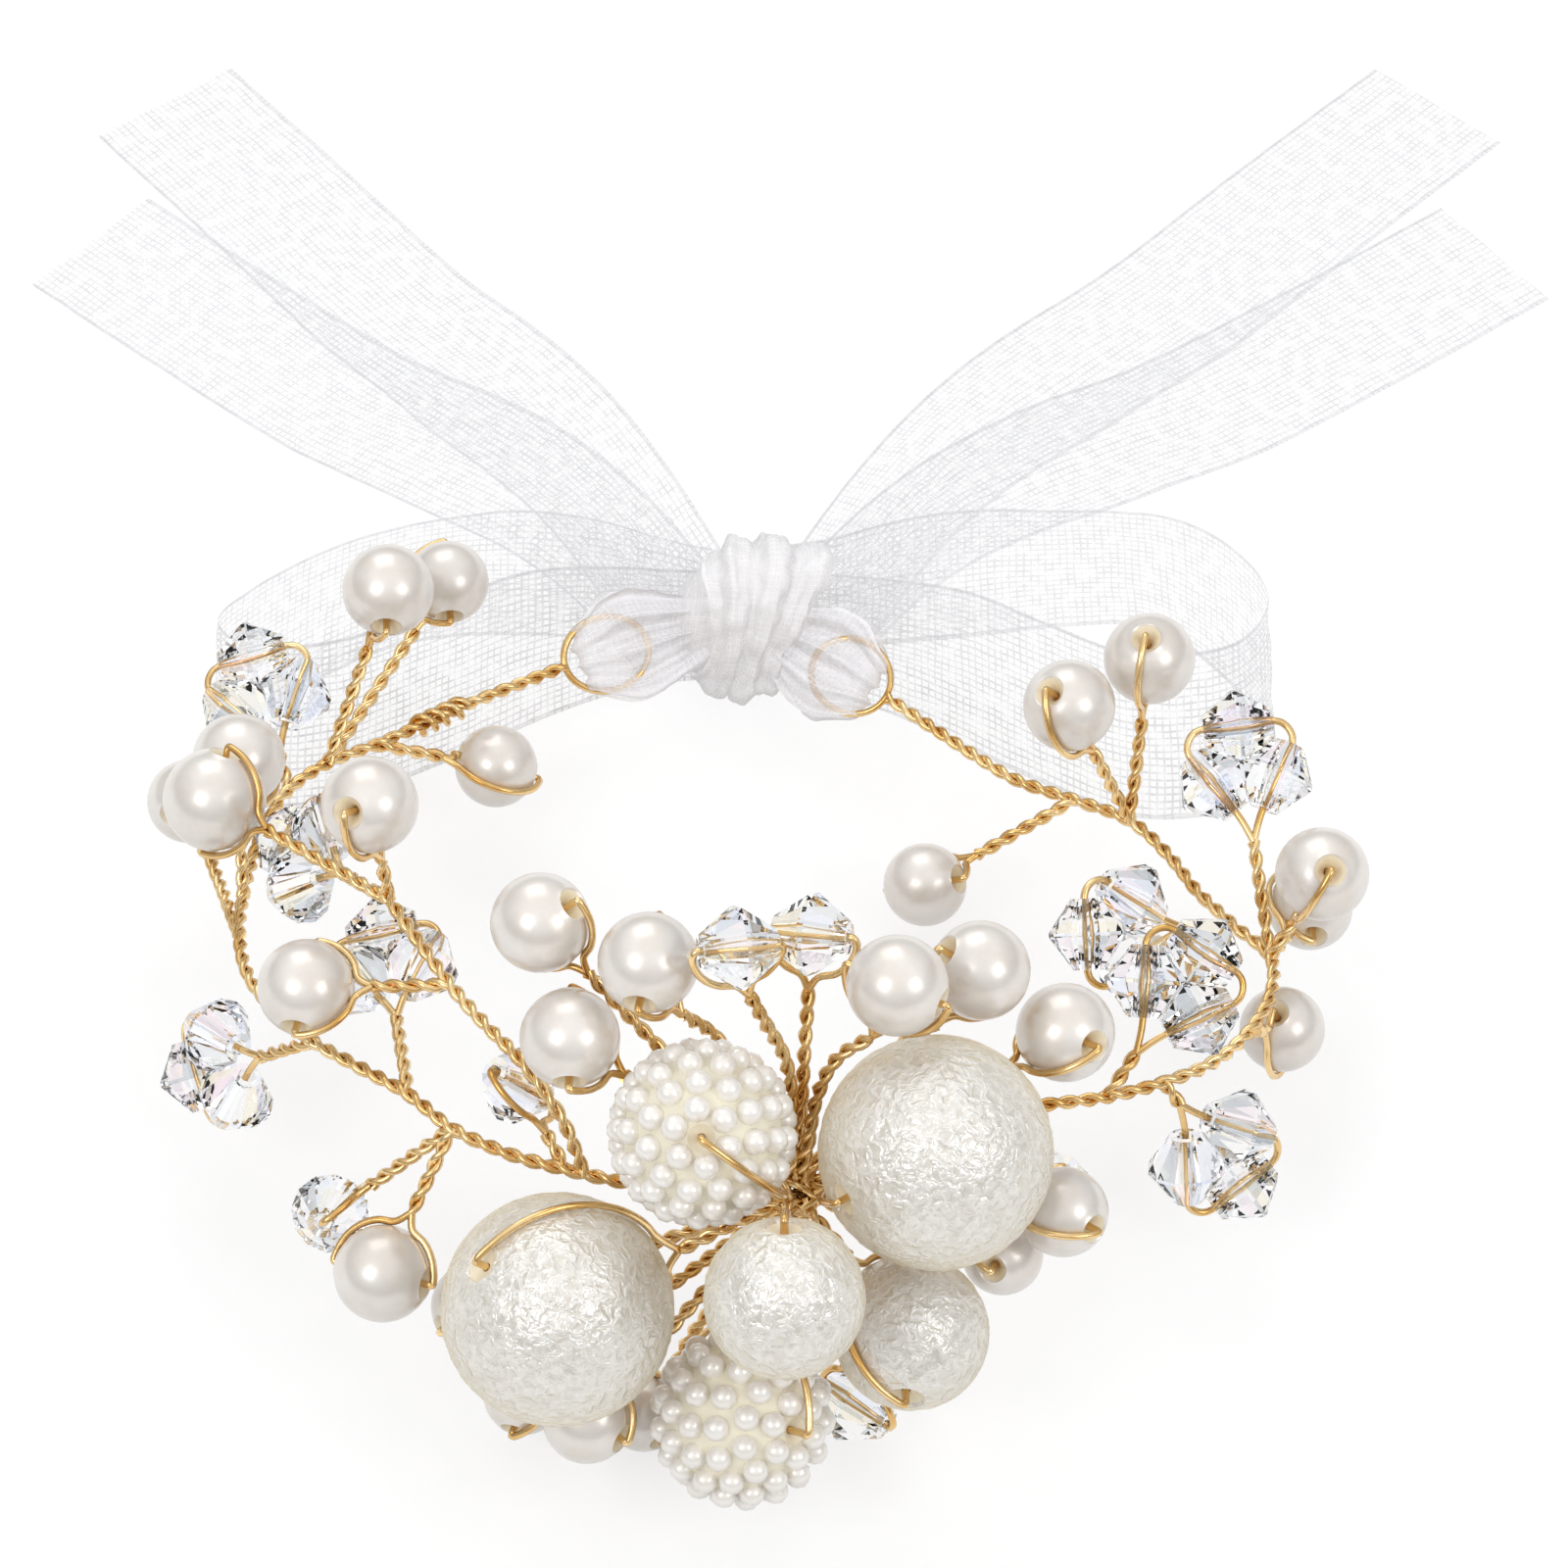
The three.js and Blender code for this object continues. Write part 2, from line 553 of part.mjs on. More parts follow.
// A bow loop leaves the knot at the back, turns over at its far end and comes back along the table
function bowSolid(hand) {
  const back = LOOP_FAN * 0.4;
  const front = -LOOP_FAN * 0.7;
  const low = RIBBON_THICKNESS / 2 + CLEARANCE;
  const route = [
    [0.03, 0.7 * back, KNOT_HEIGHT / 3],
    [0.17, back, 0.5 * LOOP_RISE],
    [0.3, back, 0.65 * LOOP_RISE],
    [0.55, back, 0.87 * LOOP_RISE],
    [0.79, 0.7 * back, LOOP_RISE],
    [0.95, 0.25 * front, 0.78 * LOOP_RISE],
    [1, 0.63 * front, 0.5 * LOOP_RISE],
    [0.93, 0.95 * front, 0.17 * LOOP_RISE],
    [0.72, front, low],
    [0.44, 0.85 * front, low],
    [0.22, 0.65 * front, low + PLEAT_DEPTH],
    [0.03, 0.4 * front, KNOT_HEIGHT / 5],
  ];
  const controls = route.map(([share, y, z]) => fromKnot(hand * share * LOOP_REACH, y, z));
  const open = (u) => ease(Math.min(u, 1 - u), 0.06, 0.3);
  const widthAt = (u) => GATHER_WIDTH + (RIBBON_WIDTH - GATHER_WIDTH) * open(u);
  const pleatAt = (u) => PLEAT_DEPTH * (1 - open(u));
  return band({
    controls,
    widthAt,
    pleatAt,
    side: new THREE.Vector3(0, 1, 0),
    steps: LOOP_STEPS,
    segments: PLEAT_SEGMENTS,
    thickness: RIBBON_THICKNESS,
  });
}

// The bunched ribbon between the knot and an eye: through the eye, round its far wire and back
function hitchSolid({ along, face, across, centre }) {
  const stand = WIRE_D / 2 + CLEARANCE + HITCH_THICKNESS / 2;
  const far = centre.clone().addScaledVector(along, EYE_LENGTH / 2);
  const at = (from, forward, up) =>
    from.clone().addScaledVector(along, forward).addScaledVector(face, up * stand);
  const leg = (up) => [at(knotCentre, -HITCH_GRIP, up), at(far, 0, up), at(centre, HITCH_TURN, up)];
  const controls = [...leg(1), at(centre, -HITCH_TURN, 0), ...leg(-1).reverse()];
  return band({
    controls,
    side: across,
    widthAt: () => HITCH_WIDTH,
    pleatAt: () => 0,
    steps: HITCH_STEPS,
    segments: 1,
    thickness: HITCH_THICKNESS,
  });
}

// Scene graph

const corsage = new THREE.Group();
const stemPaths = {
  left: evenPoints(LEFT_STEM.map(beside), STEM_STEP),
  front: evenPoints(FRONT_STEM.map(beside), STEM_STEP),
  right: evenPoints(RIGHT_STEM.map(beside), STEM_STEP),
  upper: evenPoints(UPPER_BRANCH.map(beside), STEM_STEP),
};

// The point of a stem that lies nearest to an angle round the ring
function stemPoint(wire, angle) {
  const aim = beside([angle, 0, 0]);
  const flat = (p) => (p.x - aim.x) ** 2 + (p.y - aim.y) ** 2;
  return stemPaths[wire].reduce((best, p) => (flat(p) < flat(best) ? p : best)).clone();
}

const hubPlace = stemPoint("front", HUB_ANGLE);
function rootPoint({ wire, root, at }) {
  const upper = stemPaths.upper;
  if (root === "upper") return upper[upper.length - 1].clone();
  if (root === "upper_middle") return upper[Math.floor(upper.length * BRANCH_FORK)].clone();
  if (wire === "front") {
    const way = beside(at).sub(hubPlace).normalize();
    return hubPlace.clone().addScaledVector(way, HUB_D / 2 - TWIST_D / 2);
  }
  return stemPoint(wire, root);
}

const bodies = [];
for (const bead of THREADED) {
  const centre = beside(bead.at);
  const radius = (bead.crystal ? CRYSTAL_D : bead.d) / 2;
  bodies.push({ ...bead, centre, radius, balls: [{ centre, radius }] });
}
for (const trefoil of TREFOILS) {
  const centre = beside(trefoil.at);
  const corners = trefoilCorners(centre, rootPoint(trefoil));
  const balls = corners.map((corner, i) => ({
    centre: corner.clone().add(corners[(i + 1) % 3]).divideScalar(2),
    radius: CRYSTAL_D / 2,
  }));
  bodies.push({ ...trefoil, centre, balls, trefoil: true });
}
settle(bodies, Object.values(stemPaths).flat());

const wires = { left: [], front: [], right: [] };
const wirePoints = { left: [], front: [], right: [] };
for (const wire of ["left", "front", "right"]) {
  wires[wire].push(tube(stemPaths[wire], STEM_D, STEM_SIDES));
  wirePoints[wire].push(...evenPoints(stemPaths[wire], WIRE_D));
}
wires.left.push(tube(stemPaths.upper, STEM_D, STEM_SIDES));
wirePoints.left.push(...evenPoints(stemPaths.upper, WIRE_D));

for (const body of bodies) {
  const root = rootPoint(body);
  const others = bodies.filter((other) => other !== body).flatMap((other) => other.balls);
  const foreign = Object.keys(wires)
    .filter((wire) => wire !== body.wire)
    .flatMap((wire) => wirePoints[wire].map((centre) => ({ centre, radius: STEM_D / 2 })));
  let neck;
  if (body.trefoil) {
    const corners = trefoilCorners(body.centre, root);
    neck = corners[0].clone().addScaledVector(corners[0].clone().sub(body.centre).normalize(), WIRE_D);
    corners[0].copy(neck);
    wires[body.wire].push(trefoilLoop(corners));
    corsage.add(namedMesh(body.name, geometryOf(trefoilSolid(trefoilCorners(body.centre, root))), GLASS));
  } else {
    const length = body.crystal ? CRYSTAL_LENGTH : body.d;
    const neckway = root.clone().sub(body.centre).normalize();
    const bore = bearing(body.bore);
    neck = body.centre.clone().addScaledVector(neckway, body.radius + CLEARANCE + NECK_LENGTH);
    wires[body.wire].push(beadLoop(body.centre, body.radius, length, neckway, bore, neck));
    const plain = body.radius * 2 <= BIG_PEARL_D;
    const geometry = body.crystal
      ? crystalGeometry()
      : pearlGeometry(body.d, plain ? PEARL_SEGMENTS : FEATURE_SEGMENTS, plain ? PEARL_ARCS : FEATURE_ARCS);
    const look = body.crystal ? GLASS : plain ? PEARL : CRINKLE;
    const mesh = namedMesh(body.name, geometry, look);
    mesh.position.copy(body.centre);
    mesh.quaternion.setFromUnitVectors(new THREE.Vector3(0, 1, 0), bore);
    corsage.add(mesh);
  }
  const stalk = route(root, neck, [...others, ...foreign]);
  wires[body.wire].push(tube(stalk, TWIST_D, STALK_SIDES));
  wirePoints[body.wire].push(...evenPoints(stalk, WIRE_D));
}

const hub = new THREE.SphereGeometry(HUB_D / 2, HUB_SEGMENTS, HUB_SEGMENTS / 2);
wires.front.push(solidOf(hub.translate(hubPlace.x, hubPlace.y, hubPlace.z)));

const leftEye = eyeFrame(stemPaths.left[0], knotCentre);
const rightEye = eyeFrame(stemPaths.right[stemPaths.right.length - 1], knotCentre);
wires.left.push(eyeSolid(leftEye));
wires.right.push(eyeSolid(rightEye));

for (const [wire, pieces] of Object.entries(wires)) {
  corsage.add(namedMesh(wire + "_vine_wire", geometryOf(withoutVoids(joinAll(pieces))), GOLD));
}

const knot = joinAll([knotLump(0), hitchSolid(leftEye), hitchSolid(rightEye)]);
const knotRoom = joinAll([knotLump(CLEARANCE)]);
corsage.add(namedMesh("ribbon_knot", geometryOf(knot), ORGANZA));
for (const tail of TAILS) {
  corsage.add(namedMesh(tail.name, geometryOf(tailSolid(tail).subtract(knotRoom)), ORGANZA));
}
corsage.add(namedMesh("ribbon_bow_left", geometryOf(bowSolid(-1).subtract(knotRoom)), ORGANZA));
corsage.add(namedMesh("ribbon_bow_right", geometryOf(bowSolid(1).subtract(knotRoom)), ORGANZA));

// The origin is the middle of the footprint, on the table
const extent = new THREE.Box3().setFromObject(corsage, true);
const middle = extent.getCenter(new THREE.Vector3());
corsage.position.set(-middle.x, -middle.y, -extent.min.z);
const part = new THREE.Group();
part.add(corsage);

export default part;
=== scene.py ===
"""Looks of a wrist corsage: a gold wire vine set with pearls, beads and crystals, and its ribbon bow.

Sizes are in millimetres until a mesh is made, and MM turns them to metres. The frame's joints give each
bead's middle and bore, and the stems follow the same ring coordinates as the solids do.
"""

import json
import logging
import math
import random
from dataclasses import dataclass, field
from enum import Enum

import bpy
import numpy as np
from bpy.types import Material, Node, NodeSocket, NodeTree, Object
from mathutils import Matrix, Vector


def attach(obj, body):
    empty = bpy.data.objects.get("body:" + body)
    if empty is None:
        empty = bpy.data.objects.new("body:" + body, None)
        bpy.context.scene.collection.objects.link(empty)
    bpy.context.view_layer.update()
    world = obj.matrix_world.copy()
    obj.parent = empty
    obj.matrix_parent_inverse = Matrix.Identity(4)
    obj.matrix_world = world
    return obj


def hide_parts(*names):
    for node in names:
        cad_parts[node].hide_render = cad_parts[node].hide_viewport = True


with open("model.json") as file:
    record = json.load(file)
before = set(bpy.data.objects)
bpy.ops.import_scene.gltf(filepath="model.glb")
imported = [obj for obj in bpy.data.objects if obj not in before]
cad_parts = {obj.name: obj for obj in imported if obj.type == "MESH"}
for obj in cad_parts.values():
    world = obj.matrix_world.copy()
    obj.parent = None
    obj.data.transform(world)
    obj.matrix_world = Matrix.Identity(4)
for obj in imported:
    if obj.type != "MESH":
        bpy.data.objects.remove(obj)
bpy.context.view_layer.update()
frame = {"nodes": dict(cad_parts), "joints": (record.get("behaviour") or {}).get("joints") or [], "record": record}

LOG = logging.getLogger("corsage")
MM = 0.001
ROOT_BODY = "corsage"
UP = np.array((0.0, 0.0, 1.0))
# The way that the wire eyes and the trefoils face, to the front and up
VIEW_FACE = np.array((0.0, -0.64, 0.77)) / math.hypot(0.64, 0.77)


class Slot(Enum):
    """Material slots of the record."""

    WIRE = "wire"
    PEARL = "pearl"
    CRINKLE = "crinkle"
    BERRY = "berry"
    CRYSTAL = "crystal"
    RIBBON = "ribbon"


class Vine(Enum):
    """The three bunches that the wire is wound in."""

    LEFT = "left"
    FRONT = "front"
    RIGHT = "right"


# Helpers


def linear(code: str) -> tuple[float, float, float, float]:
    """Turns an sRGB hex code into a linear colour.

    Args:
        code: six hex digits with a leading hash.

    Returns:
        Linear red, green and blue, with an alpha of 1.
    """
    parts = [int(code[i : i + 2], 16) / 255 for i in (1, 3, 5)]
    shades = [p / 12.92 if p <= 0.04045 else ((p + 0.055) / 1.055) ** 2.4 for p in parts]
    return (shades[0], shades[1], shades[2], 1.0)


def add_node(
    tree: NodeTree, kind: str, settings: dict | None = None, **inputs: Node | NodeSocket | float | tuple
) -> Node:
    """Adds a shader node with its settings, values and links.

    Args:
        tree: the node tree to add to.
        kind: the node's class name after ShaderNode.
        settings: attributes to set on the node.
        **inputs: a value, an output or a node, which gives its first output, for each socket: by name with
            underscores, or by place as i0, i1 and so on.

    Returns:
        The new node.
    """
    made = tree.nodes.new("ShaderNode" + kind)
    for key, value in (settings or {}).items():
        setattr(made, key, value)
    for key, value in inputs.items():
        by_place = key[0] == "i" and key[1:].isdigit()
        socket = made.inputs[int(key[1:]) if by_place else key.replace("_", " ")]
        source = value.outputs[0] if isinstance(value, Node) else value
        if isinstance(source, NodeSocket):
            tree.links.new(source, socket)
        else:
            socket.default_value = source
    return made


def deselect() -> None:
    """Leaves object mode with nothing selected."""
    if bpy.context.object and bpy.context.object.mode != "OBJECT":
        bpy.ops.object.mode_set(mode="OBJECT")
    bpy.ops.object.select_all(action="DESELECT")


def pick(*objects: Object) -> None:
    """Selects these objects alone and makes the first one active.

    Args:
        *objects: the objects to select.
    """
    deselect()
    for thing in objects:
        thing.select_set(True)
    bpy.context.view_layer.objects.active = objects[0]


def displace(piece: Object, texture: bpy.types.Texture, height_mm: float, group: str = "") -> None:
    """Pushes a piece's points out and in by a texture, along their normals.

    Args:
        piece: the piece.
        texture: the texture.
        height_mm: the height from the lowest to the highest push.
        group: the vertex group that moves, or all of it.
    """
    push = piece.modifiers.new(texture.name, "DISPLACE")
    push.texture = texture
    push.texture_coords = "LOCAL"
    push.strength = height_mm * MM
    push.vertex_group = group
    pick(piece)
    bpy.ops.object.modifier_apply(modifier=push.name)


def points_of(piece: Object) -> np.ndarray:
    """A piece's points, as rows."""
    return np.array([vertex.co for vertex in piece.data.vertices])


def place_copy(template: Object, name: str, matrix: Matrix) -> Object:
    """Copies a template with its own mesh and puts the place into the mesh.

    Args:
        template: the object to copy.
        name: the copy's name.
        matrix: where it goes.

    Returns:
        The copy, at the origin.
    """
    copy = template.copy()
    copy.data = template.data.copy()
    copy.name = name
    copy.data.name = name
    bpy.context.scene.collection.objects.link(copy)
    copy.matrix_world = matrix
    pick(copy)
    bpy.ops.object.transform_apply(location=True, rotation=True, scale=True)
    return copy


def join(pieces: list[Object], name: str) -> Object:
    """Joins pieces into the first one.

    Args:
        pieces: the pieces.
        name: the joined piece's name.

    Returns:
        The joined piece.
    """
    pick(*pieces)
    if len(pieces) > 1:
        bpy.ops.object.join()
    joined = bpy.context.view_layer.objects.active
    joined.name = name
    joined.data.name = name
    return joined


def seat(piece: Object, body: str, slot: Slot, *nodes: str) -> None:
    """Rides a piece on its body and lets it stand for its nodes.

    Args:
        piece: the finished piece.
        body: the body that it moves with.
        slot: the record's slot; not used.
        *nodes: the nodes that it stands for.
    """
    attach(piece, body)
    if nodes:
        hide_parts(*nodes)
    LOG.info("%s: %d faces", piece.name, len(piece.data.polygons))


def aimed(centre: np.ndarray, axis: np.ndarray, size: float) -> Matrix:
    """A matrix that turns local Z to an axis, at a place and a size.

    Args:
        centre: the place, in metres.
        axis: where local Z goes.
        size: the scale.

    Returns:
        The matrix.
    """
    turn = Vector(axis).to_track_quat("Z", "Y").to_matrix().to_4x4()
    return Matrix.Translation(Vector(centre)) @ turn @ Matrix.Scale(size, 4)


def turned(profile: list[tuple[float, float]], segments: int, name: str) -> Object:
    """Turns a closed profile round Z: a circle is added, then extruded and resized from ring to ring.

    Args:
        profile: radius and height of each ring, the last one equal to the first.
        segments: the sides of each ring.
        name: the object's name.

    Returns:
        The turned object.
    """
    deselect()
    radius, height = profile[0]
    bpy.ops.mesh.primitive_circle_add(vertices=segments, radius=radius, location=(0, 0, 0))
    made = bpy.context.object
    made.name = name
    bpy.ops.object.mode_set(mode="EDIT")
    bpy.ops.mesh.select_all(action="SELECT")
    bpy.ops.transform.translate(value=(0, 0, height))
    for (r0, z0), (r1, z1) in zip(profile, profile[1:]):
        bpy.ops.mesh.extrude_edges_move(TRANSFORM_OT_translate={"value": (0, 0, z1 - z0)})
        bpy.ops.transform.resize(value=(r1 / r0, r1 / r0, 1))
    bpy.ops.mesh.select_all(action="SELECT")
    bpy.ops.mesh.remove_doubles(threshold=1e-5)
    bpy.ops.mesh.normals_make_consistent(inside=False)
    bpy.ops.object.mode_set(mode="OBJECT")
    return made


def unit(v: np.ndarray) -> np.ndarray:
    """Vectors of length 1 along v, or along each of its rows."""
    return v / np.linalg.norm(v, axis=-1, keepdims=True)


def smoothstep(x: np.ndarray | float, low: float, high: float) -> np.ndarray | float:
    """Eases from 0 at low to 1 at high.

    Args:
        x: where.
        low: the value that gives 0.
        high: the value that gives 1.

    Returns:
        The eased share.
    """
    t = np.clip((x - low) / (high - low), 0, 1)
    return t * t * (3 - 2 * t)


def smooth_line(controls: np.ndarray, per_span: int = 24) -> np.ndarray:
    """A centripetal spline through points.

    Args:
        controls: the points.
        per_span: samples in each span.

    Returns:
        Points along the spline.
    """
    p = np.vstack([2 * controls[0] - controls[1], controls, 2 * controls[-1] - controls[-2]])
    line = []
    for i in range(1, len(p) - 2):
        gaps = [max(np.linalg.norm(p[i + k] - p[i + k - 1]) ** 0.5, 1e-4) for k in range(3)]
        a, b, c = gaps
        span = p[i + 1] - p[i]
        leave = ((p[i] - p[i - 1]) / a - (p[i + 1] - p[i - 1]) / (a + b) + span / b) * b
        reach = (span / b - (p[i + 2] - p[i]) / (b + c) + (p[i + 2] - p[i + 1]) / c) * b
        t = np.linspace(0, 1, per_span, endpoint=False)[:, None]
        hermite = (2 * t**3 - 3 * t**2 + 1) * p[i] + (t**3 - 2 * t**2 + t) * leave
        line.append(hermite + (3 * t**2 - 2 * t**3) * p[i + 1] + (t**3 - t**2) * reach)
    return np.vstack([*line, controls[-1:]])


def even_line(line: np.ndarray, count: int) -> np.ndarray:
    """Points spaced evenly along a line.

    Args:
        line: a dense line.
        count: how many steps.

    Returns:
        count + 1 points.
    """
    along = np.concatenate([[0], np.cumsum(np.linalg.norm(np.diff(line, axis=0), axis=1))])
    at = np.linspace(0, along[-1], count + 1)
    return np.stack([np.interp(at, along, line[:, k]) for k in range(3)], axis=1)


def length_of(line: np.ndarray) -> float:
    """The length of a line of points."""
    return float(np.linalg.norm(np.diff(line, axis=0), axis=1).sum())


def bell(x: np.ndarray, middle: float, spread: np.ndarray | float) -> np.ndarray:
    """A swell of height 1 at a middle, which dies away over a spread."""
    return np.exp(-(((x - middle) / spread) ** 2))


def wound(
    line: np.ndarray, first: np.ndarray, second: np.ndarray, arm: float, turn: np.ndarray
) -> np.ndarray:
    """Winds a strand round a line or a point.

    Args:
        line: the points that it goes round, or one point.
        first: where it stands at an angle of 0, at each point or at all of them.
        second: where it stands at a right angle.
        arm: how far off it stands.
        turn: its angle at each of its points.

    Returns:
        The strand's points.
    """
    return line + arm * (first * np.cos(turn)[:, None] + second * np.sin(turn)[:, None])


# Finishes


class Finish:
    """A finish, which makes a material that is named for what it is."""

    name: str

    def surface(self, tree: NodeTree) -> Node:
        """Adds the finish's nodes and gives its shader."""
        raise NotImplementedError(self.name)

    def material(self) -> Material:
        """Makes the material.

        Returns:
            The material.
        """
        made = bpy.data.materials.new(self.name)
        made.use_nodes = True
        made.node_tree.nodes.clear()
        add_node(made.node_tree, "OutputMaterial", Surface=self.surface(made.node_tree))
        return made


def cells(size_mm: float) -> float:
    """A pattern's scale, from the size of its cells in millimetres."""
    return 1 / (size_mm * MM)


def grade(ramp: Node, first: str, last: str, low: float = 0.0, high: float = 1.0) -> None:
    """Sets the two tones of a colour ramp.

    Args:
        ramp: the ramp.
        first: the tone at its start.
        last: the tone at its end.
        low: where the first tone ends.
        high: where the last tone begins.
    """
    for stop, tone, place in zip(ramp.color_ramp.elements, (first, last), (low, high)):
        stop.color = linear(tone)
        stop.position = place


@dataclass(frozen=True)
class GoldWire(Finish):
    """Gold-plated copper craft wire, drawn and hand-twisted: bright and warm, with faint drawing marks."""

    plate: str = "#f4d59e"
    deep: str = "#d3a35a"
    tone_mm: float = 3.85
    mark_mm: float = 0.35
    name: str = "gold_plated_wire"

    def surface(self, tree: NodeTree) -> Node:
        """Varies the plate's tone in long patches and its gloss in fine marks.

        Args:
            tree: the material's node tree.

        Returns:
            The shader.
        """
        place = add_node(tree, "TexCoord").outputs["Object"]
        tone = add_node(tree, "TexNoise", Vector=place, Scale=cells(self.tone_mm), Detail=2.0)
        marks = add_node(tree, "TexNoise", Vector=place, Scale=cells(self.mark_mm), Detail=3.0)
        colour = add_node(tree, "ValToRGB", Fac=tone)
        grade(colour, self.deep, self.plate, 0.3, 0.6)
        return add_node(
            tree,
            "BsdfPrincipled",
            Base_Color=colour,
            Metallic=1.0,
            Roughness=add_node(tree, "MapRange", Value=marks, To_Min=0.12, To_Max=0.28),
            Normal=add_node(tree, "Bump", Height=marks, Strength=0.25, Distance=0.04 * MM),
        )


@dataclass(frozen=True)
class PearlLacquer(Finish):
    """Moulded beads dipped in pearl lacquer: ivory, with a soft inner glow under a clear hard gloss."""

    light: str = "#f1ece6"
    shade: str = "#e7dfd6"
    metal: float = 0.34
    gloss: float = 0.14
    name: str = "pearl_lacquer"
    cloud_mm: float = 2.38
    grain_mm: float = 0.909

    def surface(self, tree: NodeTree) -> Node:
        """Clouds the ivory under a faintly grained gloss.

        Args:
            tree: the material's node tree.

        Returns:
            The shader.
        """
        place = add_node(tree, "TexCoord").outputs["Object"]
        cloud = add_node(
            tree, "TexNoise", Vector=place, Scale=cells(self.cloud_mm), Detail=3.0, Roughness=0.55
        )
        grain = add_node(tree, "TexNoise", Vector=place, Scale=cells(self.grain_mm), Detail=2.0)
        colour = add_node(tree, "ValToRGB", Fac=cloud)
        grade(colour, self.shade, self.light, 0.3, 0.62)
        return add_node(
            tree,
            "BsdfPrincipled",
            Base_Color=colour,
            Metallic=self.metal,
            Roughness=add_node(tree, "MapRange", Value=grain, To_Min=0.26, To_Max=0.34),
            Normal=add_node(tree, "Bump", Height=grain, Strength=0.1, Distance=0.03 * MM),
            Coat_Weight=0.4,
            Coat_Roughness=self.gloss,
        )


@dataclass(frozen=True)
class BoreCream(Finish):
    """Bare moulded ABS inside a bore, where the lacquer runs out: a dull warm cream."""

    tone: str = "#fcf3da"
    name: str = "bore_cream"
    speck_mm: float = 0.667

    def surface(self, tree: NodeTree) -> Node:
        """Specks the plastic's gloss.

        Args:
            tree: the material's node tree.

        Returns:
            The shader.
        """
        place = add_node(tree, "TexCoord").outputs["Object"]
        speck = add_node(tree, "TexNoise", Vector=place, Scale=cells(self.speck_mm), Detail=2.0)
        rough = add_node(tree, "MapRange", Value=speck, To_Min=0.45, To_Max=0.7)
        return add_node(tree, "BsdfPrincipled", Base_Color=linear(self.tone), Roughness=rough)


@dataclass(frozen=True)
class CrinkleLacquer(Finish):
    """Pearl lacquer shrunk on a ball so that it wrinkles: crisp crests with a painted highlight between small
    hollows with painted shade.
    """

    # The tone of the painted highlight on the crests, and of the painted shade in the hollows
    light: str = "#f6f4f0"
    hollow_shade: str = "#e5e1d9"
    edge: str = "#fff0cb"
    wrinkle_mm: float = 0.7
    name: str = "crinkled_pearl_lacquer"

    def surface(self, tree: NodeTree) -> Node:
        """Raises crests in the lacquer and its gloss, paints the crests lighter and the hollows darker as painted
        highlight and painted shade, and warms its edge.

        Args:
            tree: the material's node tree.

        Returns:
            The shader.
        """
        place = add_node(tree, "TexCoord").outputs["Object"]
        crests = add_node(
            tree,
            "TexNoise",
            {"noise_type": "RIDGED_MULTIFRACTAL"},
            Vector=place,
            Scale=cells(self.wrinkle_mm),
            Detail=2.0,
            Roughness=0.5,
            Offset=1.0,
            Gain=2.0,
            Distortion=0.5,
        )
        bump = add_node(tree, "Bump", Height=crests, Strength=1.0, Distance=0.06 * MM)
        # Painted highlight and painted shade: the crests take the lighter tone and the hollows the darker one
        raised = add_node(tree, "MapRange", Value=crests, From_Min=0.6, From_Max=1.6)
        colour = add_node(tree, "ValToRGB", Fac=raised)
        grade(colour, self.hollow_shade, self.light)
        return add_node(
            tree,
            "BsdfPrincipled",
            Base_Color=colour,
            Metallic=0.36,
            Roughness=0.22,
            Normal=bump,
            Coat_Weight=0.55,
            Coat_Roughness=0.1,
            Coat_Normal=bump,
            Sheen_Weight=1.0,
            Sheen_Roughness=0.5,
            Sheen_Tint=linear(self.edge),
        )


@dataclass(frozen=True)
class CutCrystal(Finish):
    """Machine-cut lead-free crystal, polished and clear: each facet painted a little lighter or greyer as a
    painted reflection, or tinged as painted fire.
    """

    name: str = "cut_crystal"

    def surface(self, tree: NodeTree) -> Node:
        """Takes each facet's painted reflection or painted fire from the piece.

        Args:
            tree: the material's node tree.

        Returns:
            The shader.
        """
        facet = add_node(tree, "Attribute", {"attribute_name": "facet"})
        return add_node(
            tree, "BsdfPrincipled", Base_Color=facet, Roughness=0.015, IOR=1.44, Transmission_Weight=1.0
        )


